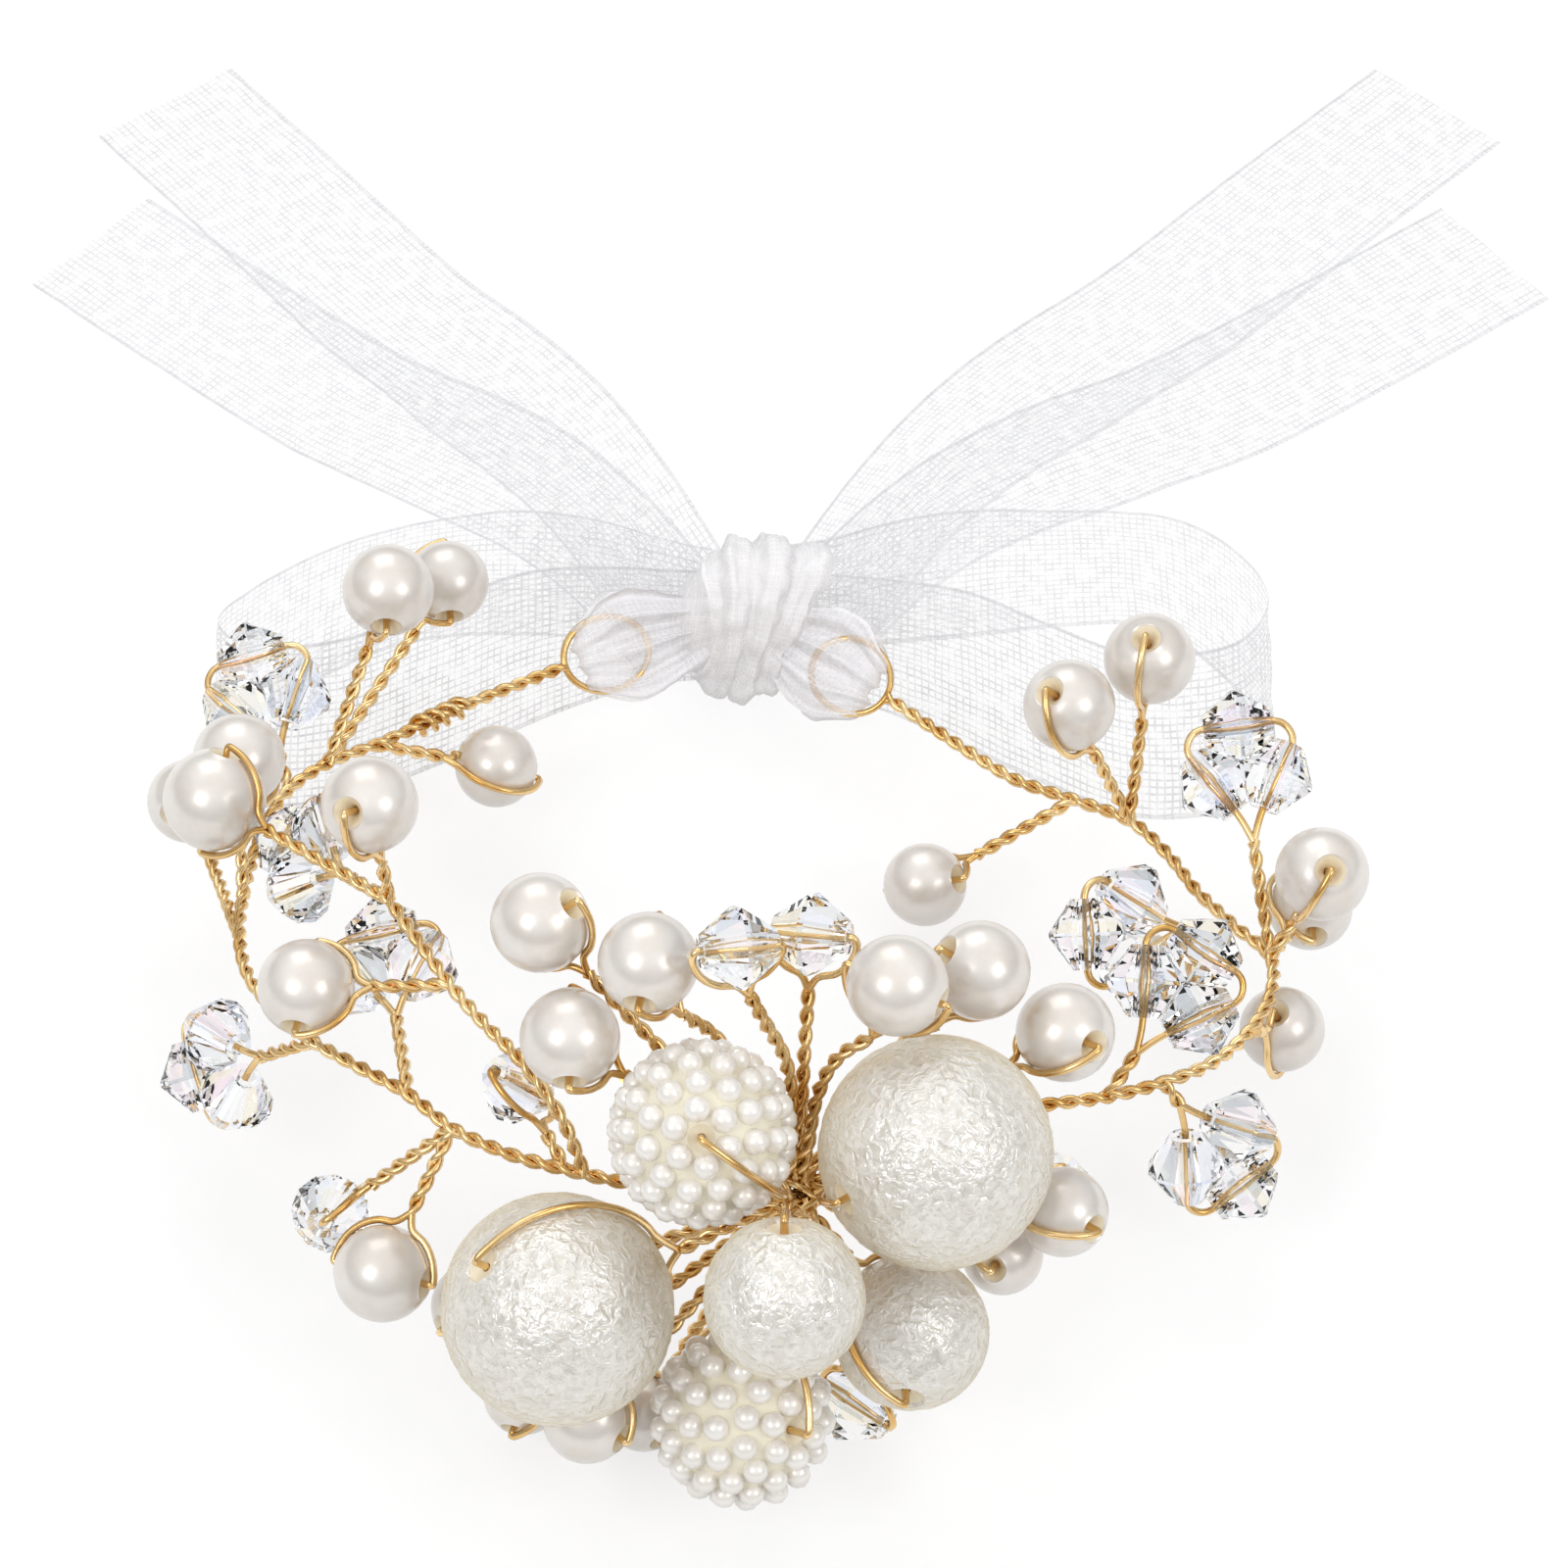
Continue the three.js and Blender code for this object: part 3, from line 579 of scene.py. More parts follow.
@dataclass(frozen=True)
class Organza(Finish):
    """Sheer polyester organza, plain woven from stiff fine yarn: open gaps, uneven threads, a firm selvedge.

    The real yarns lie about 0.25 mm apart, and they are drawn at 0.5 mm so that the weave shows. The cloth
    scatters most of the light that falls on it onwards, so it throws only a faint shadow.
    """

    yarn: str = "#dadade"
    pitch_mm: float = 0.5
    gap_alpha: float = 0.04
    yarn_alpha: float = 0.74
    onward: float = 0.85
    sheen: float = 0.3
    break_mm: float = 1.1
    slub_mm: float = 2.78
    sway_mm: float = 0.34
    selvedge_mm: tuple[float, float] = (5.6, 5.8)
    selvedge_alpha: float = 0.42
    name: str = "sheer_organza"

    def surface(self, tree: NodeTree) -> Node:
        """Draws swaying, broken threads both ways on a UV map in metres.

        Args:
            tree: the material's node tree.

        Returns:
            The shader.
        """
        uv = add_node(tree, "UVMap", {"uv_map": "cloth"})
        slub = add_node(tree, "TexNoise", Vector=uv, Scale=cells(self.slub_mm), Detail=2.0).outputs["Color"]
        sway = (self.sway_mm * MM, self.sway_mm * MM, 0.0)
        swayed = add_node(tree, "VectorMath", {"operation": "MULTIPLY_ADD"}, i0=slub, i1=sway, i2=uv)
        split = add_node(tree, "SeparateXYZ", Vector=swayed).outputs
        threads = []
        for way, strength in (("X", 1.0), ("Y", 0.7)):
            count = add_node(tree, "Math", {"operation": "MULTIPLY"}, i0=split[way], i1=cells(self.pitch_mm))
            thread = add_node(
                tree,
                "MapRange",
                {"interpolation_type": "SMOOTHSTEP"},
                Value=add_node(tree, "Math", {"operation": "PINGPONG"}, i0=count, i1=0.5),
                From_Min=0.05,
                From_Max=0.21,
                To_Min=strength,
                To_Max=0.0,
            )
            threads.append(thread)
        even = add_node(tree, "Math", {"operation": "MAXIMUM"}, i0=threads[0], i1=threads[1])
        breaks = add_node(tree, "TexNoise", Vector=uv, Scale=cells(self.break_mm), Detail=2.0)
        uneven = add_node(
            tree, "MapRange", Value=breaks, From_Min=0.36, From_Max=0.64, To_Min=0.3, To_Max=1.2
        )
        cover = add_node(tree, "Math", {"operation": "MULTIPLY"}, i0=even, i1=uneven)
        side = add_node(tree, "Math", {"operation": "ABSOLUTE"}, i0=add_node(tree, "SeparateXYZ", Vector=uv))
        near, far = (mm * MM for mm in self.selvedge_mm)
        selvedge = add_node(
            tree, "MapRange", Value=side, From_Min=near, From_Max=far, To_Min=0.0, To_Max=self.selvedge_alpha
        )
        sheer = add_node(tree, "MapRange", Value=cover, To_Min=self.gap_alpha, To_Max=self.yarn_alpha)
        solid = add_node(tree, "Math", {"operation": "ADD", "use_clamp": True}, i0=sheer, i1=selvedge)
        rays = add_node(tree, "LightPath").outputs
        lighting = add_node(
            tree, "Math", {"operation": "MAXIMUM"}, i0=rays["Is Shadow Ray"], i1=rays["Is Diffuse Ray"]
        )
        stops = add_node(tree, "MapRange", Value=lighting, To_Min=1.0, To_Max=1 - self.onward)
        return add_node(
            tree,
            "BsdfPrincipled",
            Base_Color=linear(self.yarn),
            Roughness=0.5,
            Alpha=add_node(tree, "Math", {"operation": "MULTIPLY"}, i0=solid, i1=stops),
            Normal=add_node(tree, "Bump", Height=cover, Strength=0.16, Distance=0.06 * MM),
            Sheen_Weight=self.sheen,
            Sheen_Roughness=0.4,
        )


@dataclass(frozen=True)
class PaperSweep(Finish):
    """A matt paper floor: it keeps a soft shadow, and glows to white where it is seen or mirrored."""

    first: str = "#a9a9aa"
    last: str = "#afafaf"
    tooth_mm: float = 3.33
    glow: float = 0.63
    name: str = "paper_sweep"

    def surface(self, tree: NodeTree) -> Node:
        """Adds the glow to the paper for the rays that see it.

        Args:
            tree: the material's node tree.

        Returns:
            The shader.
        """
        place = add_node(tree, "TexCoord").outputs["Object"]
        colour = add_node(
            tree, "ValToRGB", Fac=add_node(tree, "TexNoise", Vector=place, Scale=cells(self.tooth_mm))
        )
        grade(colour, self.first, self.last)
        rays = add_node(tree, "LightPath").outputs
        seen = rays["Is Camera Ray"]
        for ray in ("Is Glossy Ray", "Is Transmission Ray"):
            seen = add_node(tree, "Math", {"operation": "MAXIMUM"}, i0=seen, i1=rays[ray])
        paper = add_node(tree, "BsdfDiffuse", Color=colour)
        glow = add_node(tree, "Emission", Color=(1, 1, 1, 1), Strength=self.glow)
        bright = add_node(tree, "AddShader", i0=paper, i1=glow)
        return add_node(tree, "MixShader", i0=seen, i1=paper, i2=bright)


# Beads


@dataclass
class BeadPlaces:
    """Each turning bead's middle and bore, from the frame's joints."""

    places: dict[str, tuple[np.ndarray, np.ndarray]] = field(default_factory=dict)

    def __post_init__(self) -> None:
        """Reads the joints."""
        for joint in frame["joints"]:
            node = joint["child"].removesuffix("_body")
            self.places[node] = (np.array(joint["pos_m"]), unit(np.array(joint["axis"])))

    def named(self, start: str) -> list[str]:
        """The beads whose names start so."""
        return sorted(n for n in self.places if n.startswith(start))

    def radius(self, node: str) -> float:
        """A bead's radius in metres, from its node's furthest point."""
        centre = Vector(self.places[node][0])
        return max((v.co - centre).length for v in frame["nodes"][node].data.vertices)

    def place(self, form: Object, node: str, size: float) -> Object:
        """A copy of a form at a bead's place and a size, with its Z along the bore."""
        centre, axis = self.places[node]
        return place_copy(form, node + "_finished", aimed(centre, axis, size))


def bored_ball(
    radius: float, mouth: float, cup: list[tuple[float, float]], arcs: int, segments: int
) -> Object:
    """Turns a ball with a bore along Z.

    Args:
        radius: the ball's radius.
        mouth: the radius at which the ball's skin ends.
        cup: rings from the mouth into the bore, each with a radius and a height over the skin's end.
        arcs: the steps from mouth to mouth.
        segments: the sides of each ring.

    Returns:
        The ball.
    """
    edge = math.asin(mouth / radius)
    rings = []
    for i in range(arcs + 1):
        turn = edge + (math.pi - 2 * edge) * i / arcs
        rings.append((radius * math.sin(turn), -radius * math.cos(turn)))
    rim = rings[-1][1]
    above = [(r, rim + height) for r, height in cup]
    below = [(r, -height) for r, height in reversed(above)]
    return turned([*rings, *above, (above[-1][0], 0.0), *below, rings[0]], segments, "bored_ball")


def dress_bead(form: Object, outer: Material, bore: Material, reach: float) -> None:
    """Gives a turned bead its two finishes and smooth shading.

    Args:
        form: the bead, with its bore along Z.
        outer: the finish of the skin.
        bore: the finish inside the bore.
        reach: faces nearer to Z than this are in the bore.
    """
    form.data.materials.append(outer)
    form.data.materials.append(bore)
    for face in form.data.polygons:
        near = math.hypot(face.center.x, face.center.y)
        face.material_index = 1 if near < reach else 0
    pick(form)
    bpy.ops.object.shade_smooth_by_angle(angle=math.radians(50))


@dataclass
class Pearls:
    """The smooth pearls: one ball with a rounded bore, copied at each size. Shares are of its radius."""

    places: BeadPlaces
    bore_share: float = 0.09
    mouth_share: float = 0.32
    lip_share: float = 0.07
    dip_share: float = 0.09
    depth_share: float = 0.3
    segments: int = 40
    arcs: int = 26

    def build(self, lacquer: Material, bore: Material) -> None:
        """Copies the ball to every pearl.

        Args:
            lacquer: the outer finish.
            bore: the finish inside the bore.
        """
        mouth, lip = self.mouth_share, self.lip_share
        cup = [
            (mouth + lip / 2, 0.4 * lip),
            (mouth, 0.1 * lip),
            (0.8 * mouth, -self.dip_share),
            (self.bore_share, -self.depth_share),
        ]
        form = bored_ball(1.0, mouth + lip, cup, self.arcs, self.segments)
        dress_bead(form, lacquer, bore, mouth)
        for node in self.places.named("pearl_"):
            piece = self.places.place(form, node, self.places.radius(node))
            seat(piece, node + "_body", Slot.PEARL, node)
        bpy.data.objects.remove(form)


@dataclass
class CrinkleBeads:
    """The crinkled beads: a finely turned ball whose skin is pushed out in low crests."""

    places: BeadPlaces
    bore_mm: float = 0.62
    mouth_bores: float = 1.9
    lacquer_bores: float = 1.75
    keep_bores: float = 2.2
    segments: int = 112
    arcs: int = 84
    dent_mm: float = 0.06
    cell_mm: float = 1.1

    # The rings from the mouth into the bore: radius and height over the skin's end, in bores
    CUP = ((1.7, -0.4), (0.45, -0.9))

    def build(self, lacquer: Material, bore: Material) -> None:
        """Turns and wrinkles each bead.

        Args:
            lacquer: the outer finish.
            bore: the finish inside the bore.
        """
        for node in self.places.named("crinkle_"):
            radius = self.places.radius(node)
            share = self.bore_mm * MM / radius
            cup = [(r * share, height * share) for r, height in self.CUP]
            form = bored_ball(1.0, self.mouth_bores * share, cup, self.arcs, self.segments)
            dress_bead(form, lacquer, bore, self.lacquer_bores * share)
            piece = self.places.place(form, node, radius - self.dent_mm * MM / 2)
            bpy.data.objects.remove(form)
            self.wrinkle(piece, node)
            seat(piece, node + "_body", Slot.CRINKLE, node)

    def wrinkle(self, piece: Object, node: str) -> None:
        """Displaces the skin, apart from what lies near the bore.

        Args:
            piece: the placed bead.
            node: its node.
        """
        centre, axis = self.places.places[node]
        crests = bpy.data.textures.new("crinkle_crests", "MUSGRAVE")
        crests.musgrave_type = "RIDGED_MULTIFRACTAL"
        crests.noise_scale = self.cell_mm * MM
        skin = piece.vertex_groups.new(name="skin")
        for vertex in piece.data.vertices:
            arm = np.array(vertex.co) - centre
            if np.linalg.norm(arm - axis * (arm @ axis)) > self.keep_bores * self.bore_mm * MM:
                skin.add([vertex.index], 1.0, "REPLACE")
        displace(piece, crests, self.dent_mm, "skin")
        piece.vertex_groups.clear()


@dataclass
class BerryBeads:
    """The berry beads: a cream core with rows of tiny pearls set round its bore."""

    places: BeadPlaces
    stud_mm: float = 1.62
    row_step_mm: float = 1.66
    stud_step_mm: float = 1.86
    sunk_mm: float = 0.62
    bore_mm: float = 0.62
    mouth_bores: float = 1.6
    least_studs: int = 5
    segments: int = 36
    arcs: int = 24

    # The rings from the mouth into the bore: radius and height over the core's end, in bores
    CUP = ((1.35, 0.3), (1.1, 0.0), (0.4, -0.5))

    def build(self, lacquer: Material, core: Material) -> None:
        """Builds both beads.

        Args:
            lacquer: the studs' finish.
            core: the core's finish.
        """
        deselect()
        bpy.ops.mesh.primitive_ico_sphere_add(subdivisions=2, radius=self.stud_mm * MM / 2)
        stud = bpy.context.object
        stud.data.materials.append(lacquer)
        bpy.ops.object.shade_smooth()
        for node in self.places.named("berry_"):
            form = self.form(node, stud, core)
            piece = self.places.place(form, node, 1.0)
            bpy.data.objects.remove(form)
            seat(piece, node + "_body", Slot.BERRY, node)
        bpy.data.objects.remove(stud)

    def form(self, node: str, stud: Object, core: Material) -> Object:
        """Builds one bead at the origin, its bore along Z.

        Args:
            node: the bead, whose name sets how its rows start.
            stud: the tiny pearl.
            core: the core's finish.

        Returns:
            The joined bead.
        """
        radius = self.places.radius(node)
        seat_radius = radius - self.stud_mm * MM / 2
        inner = radius - self.stud_mm * MM + self.sunk_mm * MM
        bore = self.bore_mm * MM
        cup = [(r * bore, height * bore) for r, height in self.CUP]
        ball = bored_ball(inner, self.mouth_bores * bore, cup, self.arcs, self.segments)
        dress_bead(ball, core, core, 0.0)
        chooser = random.Random(node)
        rows = round(math.pi * seat_radius / (self.row_step_mm * MM))
        studs = [ball]
        for row in range(1, rows):
            slope = math.pi * row / rows
            ring = seat_radius * math.sin(slope)
            count = max(self.least_studs, round(2 * math.pi * ring / (self.stud_step_mm * MM)))
            start = chooser.random()
            for k in range(count):
                turn = 2 * math.pi * (k + start) / count
                spot = (ring * math.cos(turn), ring * math.sin(turn), seat_radius * math.cos(slope))
                studs.append(place_copy(stud, "berry_stud", Matrix.Translation(spot)))
        return join(studs, "berry_form")


@dataclass
class Crystals:
    """The cut crystals: a twelve-sided double cone with flat ends, single or strung in threes."""

    places: BeadPlaces
    width_mm: float = 5.0
    length_mm: float = 4.6
    rim_mm: float = 2.0
    bore_mm: float = 1.1
    girdle_mm: float = 0.25
    sides: int = 12
    bite_mm: float = 0.15
    strung_size: float = 0.985
    # Each facet's painted reflection: white, lighter or greyer, with a few tinged as painted fire
    shades: tuple[str, ...] = (
        "#ffffff", "#ffffff", "#ffffff", "#ffffff", "#f8fafc",
        "#e4e8ec", "#bfc5ca", "#eaf0ff", "#fff6dc", "#fff0f7",
    )

    @property
    def side_mm(self) -> float:
        """The side of the triangle that three crystals are strung along."""
        return 2 * math.sqrt(3) * (self.width_mm / 2 - self.bite_mm)

    def form(self) -> Object:
        """Turns the crystal, its bore along Z, with flat facets.

        Returns:
            The crystal, in metres.
        """
        half, rim = self.length_mm / 2 * MM, self.rim_mm / 2 * MM
        wide, bore = self.width_mm / 2 * MM, self.bore_mm / 2 * MM
        girdle = self.girdle_mm / 2 * MM
        rings = [(rim, -half), (wide, -girdle), (wide, girdle), (rim, half), (bore, half), (bore, -half)]
        return turned([*rings, rings[0]], self.sides, "crystal_form")

    def tint(self, piece: Object, seed: str) -> None:
        """Gives each facet its own painted reflection, lighter or greyer, or a tinge of painted fire.

        Args:
            piece: the crystal.
            seed: sets the painted reflections and fire.
        """
        chooser = random.Random(seed)
        facet = piece.data.attributes.new("facet", "FLOAT_COLOR", "CORNER")
        # Extruded faces come in another order in each run, so they are taken by their places
        for face in sorted(piece.data.polygons, key=lambda f: [round(c / MM, 2) for c in f.center]):
            shade = linear(chooser.choice(self.shades))
            for corner in face.loop_indices:
                facet.data[corner].color = shade

    def build(self, glass: Material, strung: dict[str, np.ndarray]) -> None:
        """Copies the crystal to every single place and, a little smaller, to every trefoil's sides.

        Args:
            glass: the finish.
            strung: each trefoil's three corners, in metres.
        """
        form = self.form()
        form.data.materials.append(glass)
        for node in self.places.named("crystal_"):
            piece = self.places.place(form, node, 1.0)
            self.tint(piece, node)
            seat(piece, node + "_body", Slot.CRYSTAL, node)
        for node, corners in strung.items():
            three = []
            for here, there in zip(corners, np.roll(corners, -1, axis=0)):
                middle = aimed((here + there) / 2, unit(there - here), self.strung_size)
                three.append(place_copy(form, "strung", middle))
            piece = join(three, node + "_finished")
            self.tint(piece, node)
            seat(piece, ROOT_BODY, Slot.CRYSTAL, node)
        bpy.data.objects.remove(form)


# Wire


@dataclass
class WristRing:
    """The oval that the vine follows, tilted up to the front, in millimetres."""

    width: float = 66.0
    depth: float = 57.0
    height: float = 12.0
    tilt_rise: float = 7.0
    roll_rise: float = 2.0
    centre: np.ndarray = field(default_factory=lambda: np.array(frame["record"]["mounts"][0]["pos_m"]) / MM)

    def beside(self, place: tuple[float, float, float]) -> np.ndarray:
        """A point beside the ring.

        Args:
            place: the angle round it in degrees, the stand-off outwards and the rise above it.

        Returns:
            The point, in millimetres.
        """
        angle, out, rise = place
        turn = math.radians(angle)
        height = self.height - self.tilt_rise * math.sin(turn) - self.roll_rise * math.cos(turn)
        return np.array(
            (
                self.centre[0] + (self.width / 2 + out) * math.cos(turn),
                self.centre[1] + (self.depth / 2 + out) * math.sin(turn),
                height + rise,
            )
        )


@dataclass
class Sprig:
    """Where a bead's stalk grows from: a vine and an angle on it, or its branch."""

    vine: Vine
    root: float | str | None = None


@dataclass
class VineWire:
    """The wire: stems, twisted stalks, bead loops, trefoil loops and the two eyes."""

    ring: WristRing
    places: BeadPlaces
    crystals: Crystals
    wire_mm: float = 0.48
    pair_pitch_mm: float = 2.6
    stem_pitch_mm: float = 2.7
    stem_strands: int = 2
    turn_steps: int = 10
    snug: float = 0.98
    steep: float = 0.9
    stalk_step_mm: float = 3.2
    stem_step_mm: float = 4.0
    hub_mm: float = 4.0
    hub_angle: float = 270.0
    hub_wraps: int = 6
    hub_turns: float = 1.6
    hub_steps: int = 44
    hub_drift_mm: float = 0.5
    hub_seed: int = 7
    fork_share: float = 0.7
    eye_length_mm: float = 6.0
    eye_width_mm: float = 5.0
    eye_steps: int = 40
    coil_arm_wires: float = 1.3
    coil_pitch_wires: float = 4.2
    coil_steps: int = 12
    neck_mm: float = 0.9
    clearance_mm: float = 0.3
    hug_mm: float = 0.06
    bend_wires: float = 0.55
    route_rounds: int = 60
    route_ease: float = 0.25
    strands: dict[Vine, list[np.ndarray]] = field(default_factory=lambda: {v: [] for v in Vine})
    stems: dict[str, np.ndarray] = field(default_factory=dict)

    # Each stem's points beside the ring: angle, stand-off outwards and rise
    LINES = {
        "left": (
            (115, -1, 0), (130, -2, 0), (142, -2, 0), (157, 0, 0), (174, 0, 0), (197, 1, 0),
            (214, 0, 0), (225, -1, 0), (237, 0, 0), (247, 0, 0), (256, 0, 0),
        ),
        "front": ((257.5, 0, 0), (270, 0, 0), (281.5, -1.5, 0)),
        "right": (
            (283.4, -1.9, 0), (298, -4.5, 0), (319, -2, 0), (333, 0, 0), (351, 0, 0), (364, -4, 0),
            (386, -6, 1), (405, -9, 2), (422, -7.5, 2), (433, -5, 1.5),
        ),
        "upper": ((251, 0, 0), (246, -1.5, 5), (228, -5.5, 5.5), (205, -7.5, 6.5)),
    }
    # The roots of each family's stalks: angles on its stem, or the upper branch's end or fork. All others
    # grow from the front hub
    ROOTS = {
        "pearl_left": (149, 149, 142, "upper", 186, 190, "upper", "fork", 237),
        "pearl_right": (405, 386, 386, 351, 354, 340),
        "crystal_left": (237, 247),
        "crystal_trefoil_left": (157, "upper", 225, 214),
        "crystal_trefoil_right": (358, 364, 312, 319),
    }
    # The stems in the order that they are twisted
    STEMS = {"left": Vine.LEFT, "upper": Vine.LEFT, "front": Vine.FRONT, "right": Vine.RIGHT}
    # The points of the left stem that its cut ends are coiled round
    COILED = slice(50, 76)
    # The two sways that make the coiled turns uneven: size, slowness and lag, from turns in radians
    COIL_SWAYS = ((0.7, 3.7, 0.0), (0.5, 2.1, 1.0))
    # How far each part of the axis of a wrap round the hub may lean, and its least and greatest arm in hubs
    HUB_LEAN = (1, 0.5, 0.6)
    HUB_ARM = (0.3, 0.4)
    # The stretch of the way from a neck to a bore's mouth where the wire hugs the bead
    HUGGED = (0.12, 0.9)
    # Where a trefoil's wire passes along each of its sides
    STRUNG = (0.16, 0.5, 0.84)

    def __post_init__(self) -> None:
        """Lays the stems."""
        for name, line in self.LINES.items():
            dense = smooth_line(np.array([self.ring.beside(p) for p in line]))
            self.stems[name] = even_line(dense, max(2, round(length_of(dense) / self.stem_step_mm)))

    def sprig(self, node: str) -> Sprig:
        """Where a bead's stalk starts.

        Args:
            node: the bead or trefoil, whose name ends with its number in its family.

        Returns:
            Its sprig.
        """
        family, _, number = node.rpartition("_")
        if family not in self.ROOTS:
            return Sprig(Vine.FRONT)
        return Sprig(Vine.LEFT if "_left" in family else Vine.RIGHT, self.ROOTS[family][int(number) - 1])

    def stem_point(self, stem: str, angle: float) -> np.ndarray:
        """A stem's own point nearest to an angle round the ring, in plan."""
        arms = self.stems[stem] - self.ring.beside((angle, 0, 0))
        return self.stems[stem][np.argmin((arms[:, :2] ** 2).sum(1))]

    def root_point(self, node: str, centre: np.ndarray) -> np.ndarray:
        """The point that a bead's stalk grows from.

        Args:
            node: the bead.
            centre: its middle, in millimetres.

        Returns:
            The point, in millimetres.
        """
        sprig = self.sprig(node)
        upper = self.stems["upper"]
        if sprig.root == "upper":
            return upper[-1]
        if sprig.root == "fork":
            return upper[int(len(upper) * self.fork_share)]
        if sprig.vine is Vine.FRONT:
            hub = self.stem_point("front", self.hub_angle)
            return hub + unit(centre - hub) * (self.hub_mm / 4)
        return self.stem_point(sprig.vine.value, sprig.root)

    def trefoil_corners(self, node: str) -> np.ndarray:
        """The corners that a trefoil's wire bends round.

        Args:
            node: the trefoil.

        Returns:
            Three corners in millimetres, the first one at its neck.
        """
        centre = (points_of(frame["nodes"][node]) / MM).mean(0)
        to_neck = unit(self.root_point(node, centre) - centre)
        face = unit(VIEW_FACE - to_neck * (VIEW_FACE @ to_neck))
        side = np.cross(face, to_neck)
        reach = self.crystals.side_mm / math.sqrt(3)
        return wound(centre, to_neck, side, reach, 2 * math.pi * np.arange(3) / 3)

    def trefoils(self) -> dict[str, np.ndarray]:
        """Every trefoil's corners, in metres."""
        names = sorted(n for n in frame["nodes"] if n.startswith("crystal_trefoil"))
        return {n: self.trefoil_corners(n) * MM for n in names}

    def route(self, start: np.ndarray, end: np.ndarray, balls: np.ndarray) -> np.ndarray:
        """Bends a stalk clear of every other bead.

        Args:
            start: its root.
            end: the bead's neck.
            balls: rows of middle and radius, in millimetres.

        Returns:
            A smooth line.
        """
        steps = max(2, round(float(np.linalg.norm(end - start)) / self.stalk_step_mm))
        points = start + (end - start) * np.linspace(0, 1, steps + 1)[:, None]
        reach = balls[:, 3] + self.wire_mm + 2 * self.clearance_mm
        ease = self.route_ease
        for _ in range(self.route_rounds):
            for i in range(1, steps):
                points[i] = (1 - ease) * points[i] + ease / 2 * (points[i - 1] + points[i + 1])
                arms = points[i] - balls[:, :3]
                far = np.linalg.norm(arms, axis=1)
                for k in np.nonzero(far < reach)[0]:
                    points[i] = balls[k, :3] + arms[k] / far[k] * reach[k]
        return smooth_line(points)

    def twist(self, line: np.ndarray, strands: int, pitch: float, vine: Vine) -> None:
        """Winds strands round a line.

        Args:
            line: the middle of the twist.
            strands: how many strands.
            pitch: the length of a full turn.
            vine: the bunch that they belong to.
        """
        length = length_of(line)
        line = even_line(line, max(4, round(length * self.turn_steps / pitch)))
        ahead = unit(np.gradient(line, axis=0))
        side = np.cross(ahead[0], UP if abs(ahead[0] @ UP) < self.steep else np.array((1.0, 0, 0)))
        sides = []
        for way in ahead:
            side = unit(side - way * (side @ way))
            sides.append(side)
        sides = np.array(sides)
        phase = 2 * math.pi * np.linspace(0, length / pitch, len(line))
        arm = self.wire_mm / 2 / math.sin(math.pi / strands) * self.snug
        for k in range(strands):
            turn = phase + 2 * math.pi * k / strands
            self.strands[vine].append(wound(line, sides, np.cross(ahead, sides), arm, turn))

    def bead_loop(
        self, centre: np.ndarray, radius: float, half: float, bore: np.ndarray, neck: np.ndarray
    ) -> np.ndarray:
        """The thin wire from a neck round a bead, through its bore and back.

        Args:
            centre: the bead's middle.
            radius: its radius.
            half: half the bore's length.
            bore: the bore's direction.
            neck: where the two ends of the loop meet.

        Returns:
            A smooth line.
        """
        hug = radius + self.wire_mm / 2 + self.hug_mm
        away = unit(neck - centre)
        sides = []
        for mouth in (bore, -bore):
            angle = math.acos(float(np.clip(away @ mouth, -1, 1)))
            across = unit(mouth - away * (away @ mouth))
            shares = np.linspace(*self.HUGGED, max(4, round(angle * radius)))
            arc = wound(centre, away, across, hug, angle * shares)
            bend = centre + mouth * (half + self.wire_mm * self.bend_wires)
            sides.append([*arc, bend, centre + mouth * (half - self.wire_mm)])
        points = [neck, *sides[0], centre, *reversed(sides[1]), neck]
        return smooth_line(np.array(points), per_span=5)

    def eye(self, end: np.ndarray, knot: np.ndarray, vine: Vine) -> tuple[np.ndarray, ...]:
        """Bends the oval eye at a stem's end.

        Args:
            end: the stem's end.
            knot: the ribbon knot's middle.
            vine: the stem's bunch.

        Returns:
            The eye's middle and its directions along, out of and across its face.
        """
        along = unit((knot - end) * np.array((1, 1, 0)))
        face = unit(VIEW_FACE - along * (VIEW_FACE @ along))
        across = np.cross(face, along)
        middle = end + along * self.eye_length_mm / 2
        turns = np.linspace(0, 2 * math.pi, self.eye_steps)
        oval = wound(middle, -along * self.eye_length_mm, across * self.eye_width_mm, 0.5, turns)
        self.strands[vine].append(oval)
        return middle, along, face, across

    def coil(self, line: np.ndarray, vine: Vine) -> None:
        """Wraps the two cut ends back round a stem in uneven turns, as where it is bound off.

        Args:
            line: the stem's stretch.
            vine: the stem's bunch.
        """
        turns = length_of(line) / (self.coil_pitch_wires * self.wire_mm)
        arm = self.coil_arm_wires * self.wire_mm
        line = even_line(line, round(turns * self.coil_steps))
        ahead = unit(np.gradient(line, axis=0))
        sides = unit(np.cross(ahead, UP))
        for start in (0.0, math.pi):
            turn = start + 2 * math.pi * np.linspace(0, turns, len(line))
            turn += sum(size * np.sin(turn / slow + lag) for size, slow, lag in self.COIL_SWAYS)
            self.strands[vine].append(wound(line, sides, np.cross(ahead, sides), arm, turn))

